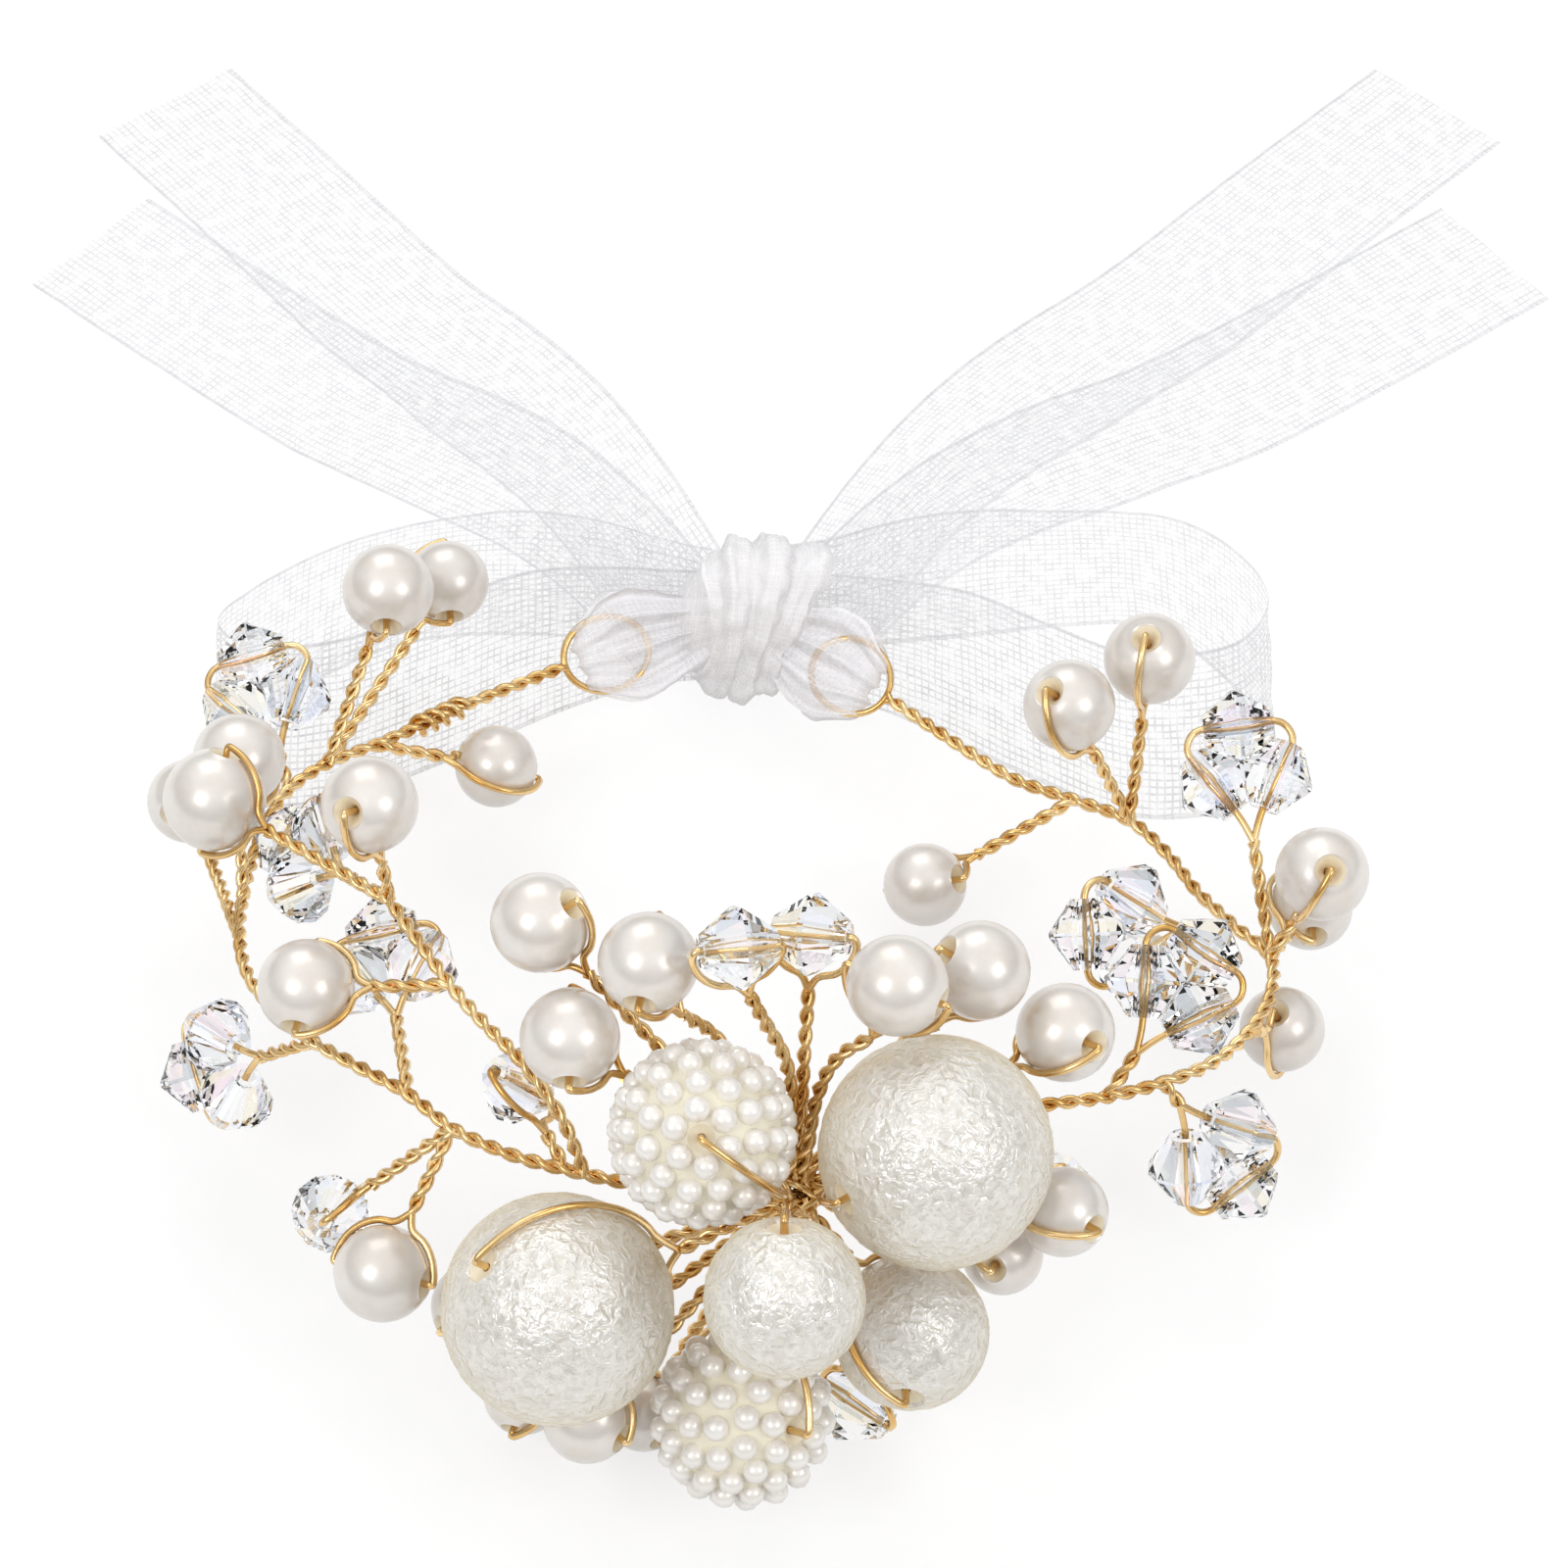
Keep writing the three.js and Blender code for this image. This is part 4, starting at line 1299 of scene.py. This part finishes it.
    def stalk(
        self, node: str, neck: np.ndarray, loop: np.ndarray, root: np.ndarray, balls: list[tuple]
    ) -> None:
        """Lays a bead's or a trefoil's loop and the twisted stalk that carries it.

        Args:
            node: the bead or trefoil.
            neck: where the loop closes and the twist begins.
            loop: the loop's points.
            root: where the stalk grows from.
            balls: every bead's name, middle and radius.
        """
        vine = self.sprig(node).vine
        self.strands[vine].append(loop)
        others = np.array([ball[1:] for ball in balls if ball[0] != node])
        self.twist(self.route(root, neck, others), 2, self.pair_pitch_mm, vine)

    def lay(self, knot: np.ndarray) -> dict[str, tuple[np.ndarray, ...]]:
        """Lays every strand.

        Args:
            knot: the ribbon knot's middle, in millimetres.

        Returns:
            The left and right eyes, for the ribbon.
        """
        beads = {n: (c / MM, self.places.radius(n) / MM, a) for n, (c, a) in self.places.places.items()}
        corners = {n: self.trefoil_corners(n) for n in self.trefoils()}
        balls = [(n, *c, r) for n, (c, r, _) in beads.items()]
        for node, triangle in corners.items():
            for middle in (triangle + np.roll(triangle, -1, axis=0)) / 2:
                balls.append((node, *middle, self.crystals.width_mm / 2))
        for name, vine in self.STEMS.items():
            self.twist(smooth_line(self.stems[name]), self.stem_strands, self.stem_pitch_mm, vine)
        for node, (centre, radius, bore) in beads.items():
            root = self.root_point(node, centre)
            neck = centre + unit(root - centre) * (radius + self.clearance_mm + self.neck_mm)
            half = self.crystals.length_mm / 2 if node.startswith("crystal") else radius
            self.stalk(node, neck, self.bead_loop(centre, radius, half, bore, neck), root, balls)
        for node, triangle in corners.items():
            centre = triangle.mean(0)
            neck = triangle[0] + unit(triangle[0] - centre) * self.wire_mm
            loop = [neck]
            for here, there in zip(triangle, np.roll(triangle, -1, axis=0)):
                loop += [here + (there - here) * share for share in self.STRUNG]
            loop = smooth_line(np.array([*loop, neck]), per_span=6)
            self.stalk(node, neck, loop, self.root_point(node, centre), balls)
        self.bind_hub()
        left, right = self.stems["left"], self.stems["right"]
        self.coil(smooth_line(left)[self.COILED], Vine.LEFT)
        return {"left": self.eye(left[0], knot, Vine.LEFT), "right": self.eye(right[-1], knot, Vine.RIGHT)}

    def bind_hub(self) -> None:
        """Wraps the hub, where the front stalks meet, in a ball of crossing turns."""
        hub = self.stem_point("front", self.hub_angle)
        chooser = random.Random(self.hub_seed)
        turns = np.linspace(0, 2 * math.pi * self.hub_turns, self.hub_steps)
        for _ in range(self.hub_wraps):
            lean = [chooser.uniform(-reach, reach) for reach in self.HUB_LEAN]
            axis = unit(np.array(lean))
            first = unit(np.cross(axis, UP + 0.1))
            drift = np.linspace(-self.hub_drift_mm, self.hub_drift_mm, self.hub_steps)[:, None] * axis
            arm = self.hub_mm * chooser.uniform(*self.HUB_ARM)
            self.strands[Vine.FRONT].append(wound(hub + drift, first, np.cross(axis, first), arm, turns))

    def build(self, gold: Material) -> None:
        """Draws each bunch's strands as one bevelled curve and makes it a mesh.

        Args:
            gold: the finish.
        """
        for vine, lines in self.strands.items():
            node = vine.value + "_vine_wire"
            curve = bpy.data.curves.new(node + "_finished", "CURVE")
            curve.dimensions = "3D"
            curve.bevel_depth = self.wire_mm / 2 * MM
            curve.bevel_resolution = 1
            curve.use_fill_caps = True
            for line in lines:
                spline = curve.splines.new("POLY")
                spline.points.add(len(line) - 1)
                flat = np.hstack([line * MM, np.ones((len(line), 1))])
                spline.points.foreach_set("co", flat.astype(np.float32).ravel())
            piece = bpy.data.objects.new(node + "_finished", curve)
            bpy.context.scene.collection.objects.link(piece)
            pick(piece)
            bpy.ops.object.convert(target="MESH")
            piece = bpy.context.object
            piece.data.materials.clear()
            piece.data.materials.append(gold)
            bpy.ops.object.shade_smooth()
            seat(piece, ROOT_BODY, Slot.WIRE, node)


# Ribbon


def lay_cloth(
    piece: Object, points: np.ndarray, across: np.ndarray, along: np.ndarray, cloth: Material
) -> None:
    """Moves a piece's points, maps its cloth and gives it its finish, all from millimetres.

    Args:
        piece: the piece.
        points: each point's place.
        across: its distance across the cloth, from the ribbon's middle.
        along: its distance along the cloth.
        cloth: the finish.
    """
    piece.data.vertices.foreach_set("co", (points * MM).astype(np.float32).ravel())
    layer = piece.data.uv_layers[0]
    layer.name = "cloth"
    for loop in piece.data.loops:
        layer.data[loop.index].uv = (across[loop.vertex_index] * MM, along[loop.vertex_index] * MM)
    piece.data.materials.append(cloth)


@dataclass
class Band:
    """One stretch of ribbon along a line: a grid shaped to its path, gather and pleats, in millimetres."""

    name: str
    line: np.ndarray
    sides: np.ndarray
    width: np.ndarray
    pleat: np.ndarray
    pleats: float
    columns: int = 40
    rows: int = 90
    crown_mm: float = 0.0
    crumple_mm: float = 0.25
    crumple_cell_mm: float = 5.0

    # The finer wave in the pleats: its height and count beside theirs, and its sway along the band
    FINE_WAVE = (0.35, 2.3, 3.0)

    @property
    def length(self) -> float:
        """The band's length."""
        return length_of(self.line)

    def build(self, cloth: Material) -> Object:
        """Adds the grid, shapes it and crumples it.

        Args:
            cloth: the finish.

        Returns:
            The finished band.
        """
        deselect()
        bpy.ops.mesh.primitive_grid_add(x_subdivisions=self.columns, y_subdivisions=self.rows, size=2)
        piece = bpy.context.object
        piece.name = self.name
        piece.data.name = self.name
        line = even_line(self.line, self.rows)
        side = unit(np.stack([self.by_row(self.sides[:, k]) for k in range(3)], axis=1))
        normal = unit(np.cross(unit(np.gradient(line, axis=0)), side))
        grid = points_of(piece)
        row = np.rint((grid[:, 1] + 1) / 2 * self.rows).astype(int)
        share = row / self.rows
        across = grid[:, 0] / 2
        phase = 2 * math.pi * self.pleats * across
        height, count, sway = self.FINE_WAVE
        waves = np.sin(phase) + height * np.sin(count * phase + sway * share)
        out = (across * self.by_row(self.width)[row])[:, None] * side[row]
        proud = self.by_row(self.pleat)[row] * waves - self.crown_mm * (2 * across) ** 2
        shaped = line[row] + out + normal[row] * proud[:, None]
        lay_cloth(piece, shaped, across * Ribbon.width_mm, share * self.length, cloth)
        soft = bpy.data.textures.new(self.name + "_crumple", "CLOUDS")
        soft.noise_scale = self.crumple_cell_mm * MM
        displace(piece, soft, self.crumple_mm)
        bpy.ops.object.shade_smooth()
        return piece

    def by_row(self, values: np.ndarray) -> np.ndarray:
        """Values at each row of the grid, from values spread evenly along the band."""
        share = np.linspace(0, 1, self.rows + 1)
        return np.interp(share, np.linspace(0, 1, len(values)), values)


@dataclass
class Tail:
    """One tail: its bearing and length in plan, its root beside the knot's middle, and if it lies on top."""

    name: str
    bearing: float
    length: float
    root: float
    over: bool


@dataclass
class Ribbon:
    """The ribbon: a knot, two bunches through the eyes, two bow loops and four tails."""

    ring: WristRing
    gather_mm: float = 9.0
    pleat_mm: float = 0.4
    layer_mm: float = 0.5
    clearance_mm: float = 0.3
    knot_width: float = 12.0
    knot_depth: float = 10.0
    knot_height: float = 12.0
    knot_back: float = 30.0
    knot_offset: float = -1.5
    loop_reach: float = 36.0
    tail_lift: float = 7.8
    tail_gap: float = 1.5
    tail_back: float = -2.0
    tail_pleat: float = 0.34
    tail_ripple: float = 0.05
    bow_ripple: float = 0.06
    hitch_mm: float = 3.4
    hitch_stand: float = 0.8
    hitch_full_mm: float = 4.2
    hitch_full_at: float = 0.36
    hitch_pleat: float = 0.2
    hitch_fold: float = 0.32
    wrap_lean: float = 1.4
    wrap_mm: float = 6.0
    wrap_shift: float = 0.3
    wrap_share: tuple[float, float] = (0.97, 0.95)
    wrap_bulge: float = 0.3
    wrap_full_mm: float = 3.0
    wrap_drawn_mm: float = 1.2
    wrap_pleat: float = 0.4
    wrap_slack: float = 0.16
    heart_share: tuple[float, float, float] = (0.84, 0.8, 0.82)
    heart_cloth_mm: float = 5.4
    heart_lean: float = 0.8
    steps: int = 60
    bow_steps: int = 80
    width_mm = 12.0

    TAILS = (
        Tail("ribbon_tail_left_upper", 128, 71, -3.0, True),
        Tail("ribbon_tail_left_lower", 139, 64, -3.0, False),
        Tail("ribbon_tail_right_upper", 47, 76, 4.3, True),
        Tail("ribbon_tail_right_lower", 36.5, 68.5, 3.6, False),
    )
    # The stretches of a tail's and a bow's length over which it opens out, and a tail's pleats die away
    TAIL_OPENS = (0.06, 0.4)
    TAIL_FLATTENS = (0.08, 0.7)
    BOW_OPENS = (0.02, 0.22)
    # The places of a bunch's leg along from an eye's middle to the knot, and of its turn round the wire
    HITCH_LEG = (3.2, 0.4, -1.4)
    HITCH_TURN = -2.0
    # How fast it fills out before and after its fullest place, and where its folds rise, from turn to knot
    HITCH_SPREAD = (0.25, 0.36)
    HITCH_FOLDS = (0.1, 0.4)
    # Degrees round the knot, from its back over its top to its front and below: where its wrap ends, and
    # the middle and spread of the bulge, of the full top and of the drawn-in front
    WRAP_ENDS = (-70, 285)
    WRAP_BULGE = (225, 38)
    WRAP_FULL = (80, 45)
    WRAP_DRAWN = (175, 25)
    # The sway of the heart's folds and its lag, the folds' winding, and the height and count of each wave
    HEART_SWAY = (0.16, 0.6)
    HEART_WIND = (1.3, 2)
    HEART_FOLDS = ((0.06, 13), (0.03, 23))
    # Each bow's line: share of its reach, set-back from the knot, height, and lean of its width in degrees
    LOOPS = {
        "left": (
            (0.06, 2.5, 4.5, 10), (0.17, 3.5, 4.6, 8), (0.3, 4.2, 5.2, 2), (0.5, 3.8, 6.1, -4),
            (0.68, 1.9, 6.5, -4), (0.82, -0.6, 6.2, 0), (0.94, -3.2, 5.1, 5), (1.0, -5.4, 3.9, 15),
            (0.95, -6.9, 2.9, 20), (0.78, -6.6, 2.5, 20), (0.58, -3.2, 2.5, 20), (0.4, 0.2, 2.6, 18),
            (0.22, 1.6, 2.9, 15), (0.06, 1.6, 3.3, 10),
        ),
        "right": (
            (0.06, 2.5, 4.5, 10), (0.17, 3.2, 4.6, 8), (0.3, 3.9, 5.2, 2), (0.55, 4.3, 6.0, -6),
            (0.79, 3.2, 6.8, -8), (0.95, -1.2, 6.0, 5), (1.0, -4.2, 4.3, 15), (0.94, -7.0, 3.0, 20),
            (0.75, -7.8, 2.5, 20), (0.58, -5.0, 2.5, 20), (0.42, -1.8, 2.6, 18), (0.22, 0.6, 2.9, 15),
            (0.06, 1.2, 3.3, 10),
        ),
    }

    @property
    def knot(self) -> np.ndarray:
        """The knot's middle, in millimetres."""
        x, y = self.ring.centre[:2]
        return np.array((x + self.knot_offset, y + self.knot_back, self.knot_height / 2))

    def from_knot(self, x: float, y: float, z: float) -> np.ndarray:
        """A point at a plan distance from the knot's middle and a height over the table."""
        return np.array((self.knot[0] + x, self.knot[1] + y, z))

    def tail(self, tail: Tail) -> Band:
        """Shapes one tail, which comes down from the knot's top to the table.

        Args:
            tail: which one.

        Returns:
            The band.
        """
        turn = math.radians(tail.bearing)
        way = np.array((math.cos(turn), math.sin(turn), 0))
        lift = self.tail_lift
        start = self.knot[2] - self.tail_gap / 2
        # Shares of the length, and heights over the table
        profile = [
            (0.02, start), (0.07, (start + lift) / 2), (0.14, lift), (0.24, lift), (0.43, 0.62 * lift),
            (0.57, 0.28 * lift), (0.8, 0.08 * lift),
        ]
        raised = self.tail_gap if tail.over else 0.0
        root = np.array((tail.root, self.tail_back))
        points = []
        for s, z in profile:
            points.append(self.from_knot(*(way[:2] * tail.length * s + root * (1 - s) ** 2), z + raised))
        rest = self.layer_mm / 2 + (self.layer_mm + self.clearance_mm if tail.over else 0)
        points.append(self.from_knot(*(way[:2] * tail.length), rest))
        line = even_line(smooth_line(np.array(points)), self.steps)
        share = np.linspace(0, 1, self.steps)
        width = self.gather_mm + (self.width_mm - self.gather_mm) * smoothstep(share, *self.TAIL_OPENS)
        pleat = self.tail_pleat * (1 - smoothstep(share, *self.TAIL_FLATTENS)) + self.tail_ripple
        sides = np.cross(UP, np.gradient(line, axis=0))
        return Band(tail.name + "_finished", line, sides, width, pleat, pleats=1.6)

    def bow(self, side: str, hand: int) -> Band:
        """Shapes one bow loop.

        Args:
            side: which loop.
            hand: 1 for the right loop and -1 for the left.

        Returns:
            The band.
        """
        route = self.LOOPS[side]
        points = [self.from_knot(hand * s * self.loop_reach, y, z) for s, y, z, _ in route]
        line = smooth_line(np.array(points))
        steps = np.linspace(0, 1, len(route))
        share = np.linspace(0, 1, self.bow_steps)
        lean = np.radians(np.interp(share, steps, [r[3] for r in route]))
        sides = np.stack([np.zeros(self.bow_steps), np.cos(lean), np.sin(lean)], axis=1)
        opened = smoothstep(np.minimum(share, 1 - share), *self.BOW_OPENS)
        width = self.gather_mm + (self.width_mm - self.gather_mm) * opened
        pleat = self.pleat_mm * (1 - opened) + self.bow_ripple
        return Band(f"ribbon_bow_{side}_finished", line, sides, width, pleat, pleats=2.0, rows=130)

    def hitch(self, eye: tuple[np.ndarray, ...], side: str) -> Band:
        """Shapes the bunch that goes from the knot through an eye and back, full over the eye.

        Args:
            eye: the eye's middle and directions.
            side: which eye.

        Returns:
            The band.
        """
        middle, along, face, across = eye
        leg = [self.knot - along, *(middle + along * far for far in self.HITCH_LEG)]
        there = [p + face * self.hitch_stand for p in leg]
        back = [p - face * self.hitch_stand for p in reversed(leg)]
        line = smooth_line(np.array([*there, middle + along * self.HITCH_TURN, *back]))
        from_turn = np.abs(np.linspace(0, 1, self.steps) - 0.5) * 2
        spread = np.where(from_turn < self.hitch_full_at, *self.HITCH_SPREAD)
        width = self.hitch_mm + self.hitch_full_mm * bell(from_turn, self.hitch_full_at, spread)
        pleat = self.hitch_pleat + self.hitch_fold * smoothstep(from_turn, *self.HITCH_FOLDS)
        sides = np.tile(across, (2, 1))
        return Band(
            "ribbon_hitch_" + side, line, sides, width, pleat, pleats=3.0, columns=60, rows=110,
            crumple_mm=0.5, crumple_cell_mm=1.6,
        )

    def wrap(self) -> Band:
        """Shapes the turn of ribbon round the knot, drawn in at the front and full below.

        Returns:
            The band.
        """
        degrees = np.linspace(*self.WRAP_ENDS, self.steps)
        turn = np.radians(degrees)
        deep, tall = self.knot_depth / 2 * self.wrap_share[0], self.knot_height / 2 * self.wrap_share[1]
        bulge = bell(degrees, *self.WRAP_BULGE)
        x = self.knot[0] + self.wrap_shift + self.wrap_lean * np.sin(turn)
        y = self.knot[1] + deep * np.cos(turn) * (1 + self.wrap_bulge * bulge)
        z = self.knot[2] + self.wrap_shift + tall * np.sin(turn)
        line = np.stack([x, y, z], axis=1)
        full = self.wrap_full_mm * bell(degrees, *self.WRAP_FULL)
        width = self.wrap_mm + full - self.wrap_drawn_mm * bell(degrees, *self.WRAP_DRAWN)
        slant = -self.wrap_lean / tall * np.clip(-np.cos(turn), 0, 1)
        sides = np.stack([np.ones(self.steps), np.zeros(self.steps), slant], axis=1)
        pleat = self.wrap_pleat - self.wrap_slack * bulge
        return Band(
            "ribbon_wrap", line, sides, width, pleat, pleats=2.9, columns=72, crown_mm=1.2,
            crumple_mm=0.9, crumple_cell_mm=1.7,
        )

    def lump(self, cloth: Material) -> Object:
        """Shapes the knot's heart: the ribbon bunched inside its own wrap, with folds that run round it.

        Args:
            cloth: the finish.

        Returns:
            The heart.
        """
        deselect()
        bpy.ops.mesh.primitive_uv_sphere_add(segments=96, ring_count=64, radius=1)
        piece = bpy.context.object
        piece.name = "ribbon_knot_finished"
        ball = points_of(piece)
        # The sphere's poles lie left and right, where the layers come out
        x, y, z = ball[:, 2], ball[:, 0], ball[:, 1]
        turn = np.arctan2(z, y)
        sway, lag = self.HEART_SWAY
        bend, wind = self.HEART_WIND
        (broad, slow), (fine, quick) = self.HEART_FOLDS
        lean = x + sway * np.sin(turn + lag)
        fold = broad * np.sin(slow * lean + bend * np.sin(turn)) + fine * np.sin(quick * lean - wind * turn)
        fullness = 1 + fold * (1 - x**2)
        box = np.array(self.heart_share) * (self.knot_width, self.knot_depth, self.knot_height) / 2
        shaped = self.knot + np.stack([x, y * fullness, z * fullness], axis=1) * box
        shaped[:, 0] += self.heart_lean * self.wrap_lean * z
        # No selvedge shows here, so the cloth's map stays between them
        lay_cloth(piece, shaped, x * self.heart_cloth_mm, turn * self.knot_height / 2, cloth)
        bpy.ops.object.shade_smooth()
        return piece

    def lay(self, band: Band, cloth: Material, rests: str, held: str, *nodes: str) -> None:
        """Builds a band and rides it on the corsage.

        Args:
            band: the band.
            cloth: its finish.
            rests: the node that it rests on; not used.
            held: how the cloth is held; not used.
            *nodes: the nodes that it stands for.
        """
        piece = band.build(cloth)
        seat(piece, ROOT_BODY, Slot.RIBBON, *nodes)

    def build(self, cloth: Material, gathered: Material, bunched: Material, eyes: dict) -> None:
        """Args:
            cloth: the finish of one layer.
            gathered: the finish where the ribbon is drawn together, its yarn whiter as painted light against the
                shade among its layers.
            bunched: the finish where many layers lie bunched, its yarn whiter as painted light against the shade
                among them.
            eyes: the two eyes, by side.
        """
        seat(self.lump(bunched), ROOT_BODY, Slot.RIBBON, "ribbon_knot")
        self.lay(self.wrap(), bunched, "ribbon_knot", "folded")
        for tail in self.TAILS:
            rests = tail.name.replace("upper", "lower") if tail.over else "ribbon_knot"
            self.lay(self.tail(tail), cloth, rests, "gathered", tail.name)
        for side, hand in (("left", -1), ("right", 1)):
            self.lay(self.bow(side, hand), cloth, "ribbon_knot", "gathered", "ribbon_bow_" + side)
            self.lay(self.hitch(eyes[side], side), gathered, side + "_vine_wire", "gathered")


# Studio


@dataclass
class Lamp:
    """One soft lamp: its place and side in metres, and its power in watts."""

    name: str
    place: tuple[float, float, float]
    side: float
    power: float


@dataclass
class Studio:
    """A white sweep, soft lamps and the camera, in metres."""

    aim: tuple[float, float, float] = (-0.0004, -0.00235, 0.0)
    slope: float = 50.0
    distance: float = 0.4
    lens: float = 135.0
    sky: float = 0.75
    floor_side: float = 6.0
    floor_drop: float = 0.0002

    LAMPS = (
        Lamp("key", (-0.28, -0.34, 0.43), 0.24, 0.6),
        Lamp("fill", (0.38, -0.3, 0.37), 0.24, 0.5),
        Lamp("rim", (-0.1, 0.4, 0.5), 0.4, 0.6),
    )
    # The room's light low down and high up, as it shows in metal and lacquer, and paler in glass
    ROOM = {"Is Glossy Ray": (0.34, 1.05), "Is Transmission Ray": (0.85, 1.0)}

    def build(self) -> None:
        """Sets the stage."""
        bpy.context.scene.view_settings.view_transform = "Standard"
        self.floor()
        self.world()
        for lamp in self.LAMPS:
            self.light(lamp)
        self.camera()

    def floor(self) -> None:
        """Adds the pale floor, which shows as white and keeps a soft shadow."""
        deselect()
        bpy.ops.mesh.primitive_plane_add(size=self.floor_side, location=(0, 0, -self.floor_drop))
        floor = bpy.context.object
        floor.name = "floor"
        floor.data.materials.append(PaperSweep().material())

    def world(self) -> None:
        """Sets the even surrounding light, and the lit room that gloss and glass show."""
        world = bpy.data.worlds.new("surround")
        bpy.context.scene.world = world
        world.use_nodes = True
        tree = world.node_tree
        tree.nodes.clear()
        rays = add_node(tree, "LightPath").outputs
        way = add_node(tree, "TexCoord").outputs["Generated"]
        height = add_node(tree, "SeparateXYZ", Vector=way).outputs["Z"]
        lit = self.sky
        for ray, (low, high) in self.ROOM.items():
            level = add_node(
                tree, "MapRange", Value=height, From_Min=0.1, From_Max=0.9, To_Min=low, To_Max=high
            )
            lit = add_node(tree, "Mix", {"data_type": "FLOAT"}, i0=rays[ray], i2=lit, i3=level)
        strength = add_node(tree, "Math", {"operation": "MAXIMUM"}, i0=lit, i1=rays["Is Camera Ray"])
        sky = add_node(tree, "Background", Color=(1, 1, 1, 1), Strength=strength)
        add_node(tree, "OutputWorld", Surface=sky)

    def light(self, lamp: Lamp) -> None:
        """Adds one soft lamp that faces the corsage.

        Args:
            lamp: the lamp.
        """
        light = bpy.data.lights.new(lamp.name, "AREA")
        light.size = lamp.side
        light.energy = lamp.power
        made = bpy.data.objects.new(lamp.name, light)
        made.location = lamp.place
        made.rotation_euler = (Vector(self.aim) - Vector(lamp.place)).to_track_quat("-Z", "Y").to_euler()
        bpy.context.scene.collection.objects.link(made)

    def camera(self) -> None:
        """Adds the camera at the photograph's angle."""
        camera = bpy.data.objects.new("camera", bpy.data.cameras.new("camera"))
        slope = math.radians(self.slope)
        back = Vector((0, -math.cos(slope), math.sin(slope)))
        camera.location = Vector(self.aim) + back * self.distance
        camera.rotation_euler = (math.radians(90) - slope, 0, 0)
        camera.data.lens = self.lens
        camera.data.sensor_width = 36
        camera.data.clip_start = 0.01
        bpy.context.scene.collection.objects.link(camera)
        bpy.context.scene.camera = camera


def main() -> None:
    """Builds the stage and every piece."""
    logging.basicConfig(level=logging.INFO, format="%(message)s")
    deselect()
    Studio().build()
    places = BeadPlaces()
    lacquer = PearlLacquer().material()
    bore = BoreCream().material()
    Pearls(places).build(lacquer, bore)
    CrinkleBeads(places).build(CrinkleLacquer().material(), bore)
    seed = PearlLacquer("#fdfaf5", "#f7f2ea", metal=0.24, gloss=0.05, name="seed_pearl_lacquer").material()
    BerryBeads(places).build(seed, BoreCream("#f7f1dd", "berry_core_cream").material())
    crystals = Crystals(places)
    ring = WristRing()
    ribbon = Ribbon(ring)
    wire = VineWire(ring, places, crystals)
    crystals.build(CutCrystal().material(), wire.trefoils())
    eyes = wire.lay(ribbon.knot)
    wire.build(GoldWire().material())
    # The hitches and the knot take copies of the organza, denser where layers bunch, with whiter yarn as painted
    # light that offsets the shade among their layers
    gathered = Organza(
        "#fcfbff", pitch_mm=0.42, gap_alpha=0.5, yarn_alpha=0.8, sheen=0.5, name="gathered_organza_painted_light"
    ).material()
    bunched = Organza(
        "#fefdff", pitch_mm=0.4, gap_alpha=0.66, yarn_alpha=0.9, sheen=0.8, name="bunched_organza_painted_light"
    ).material()
    ribbon.build(Organza().material(), gathered, bunched, eyes)
    deselect()


if __name__ == "__main__":
    main()
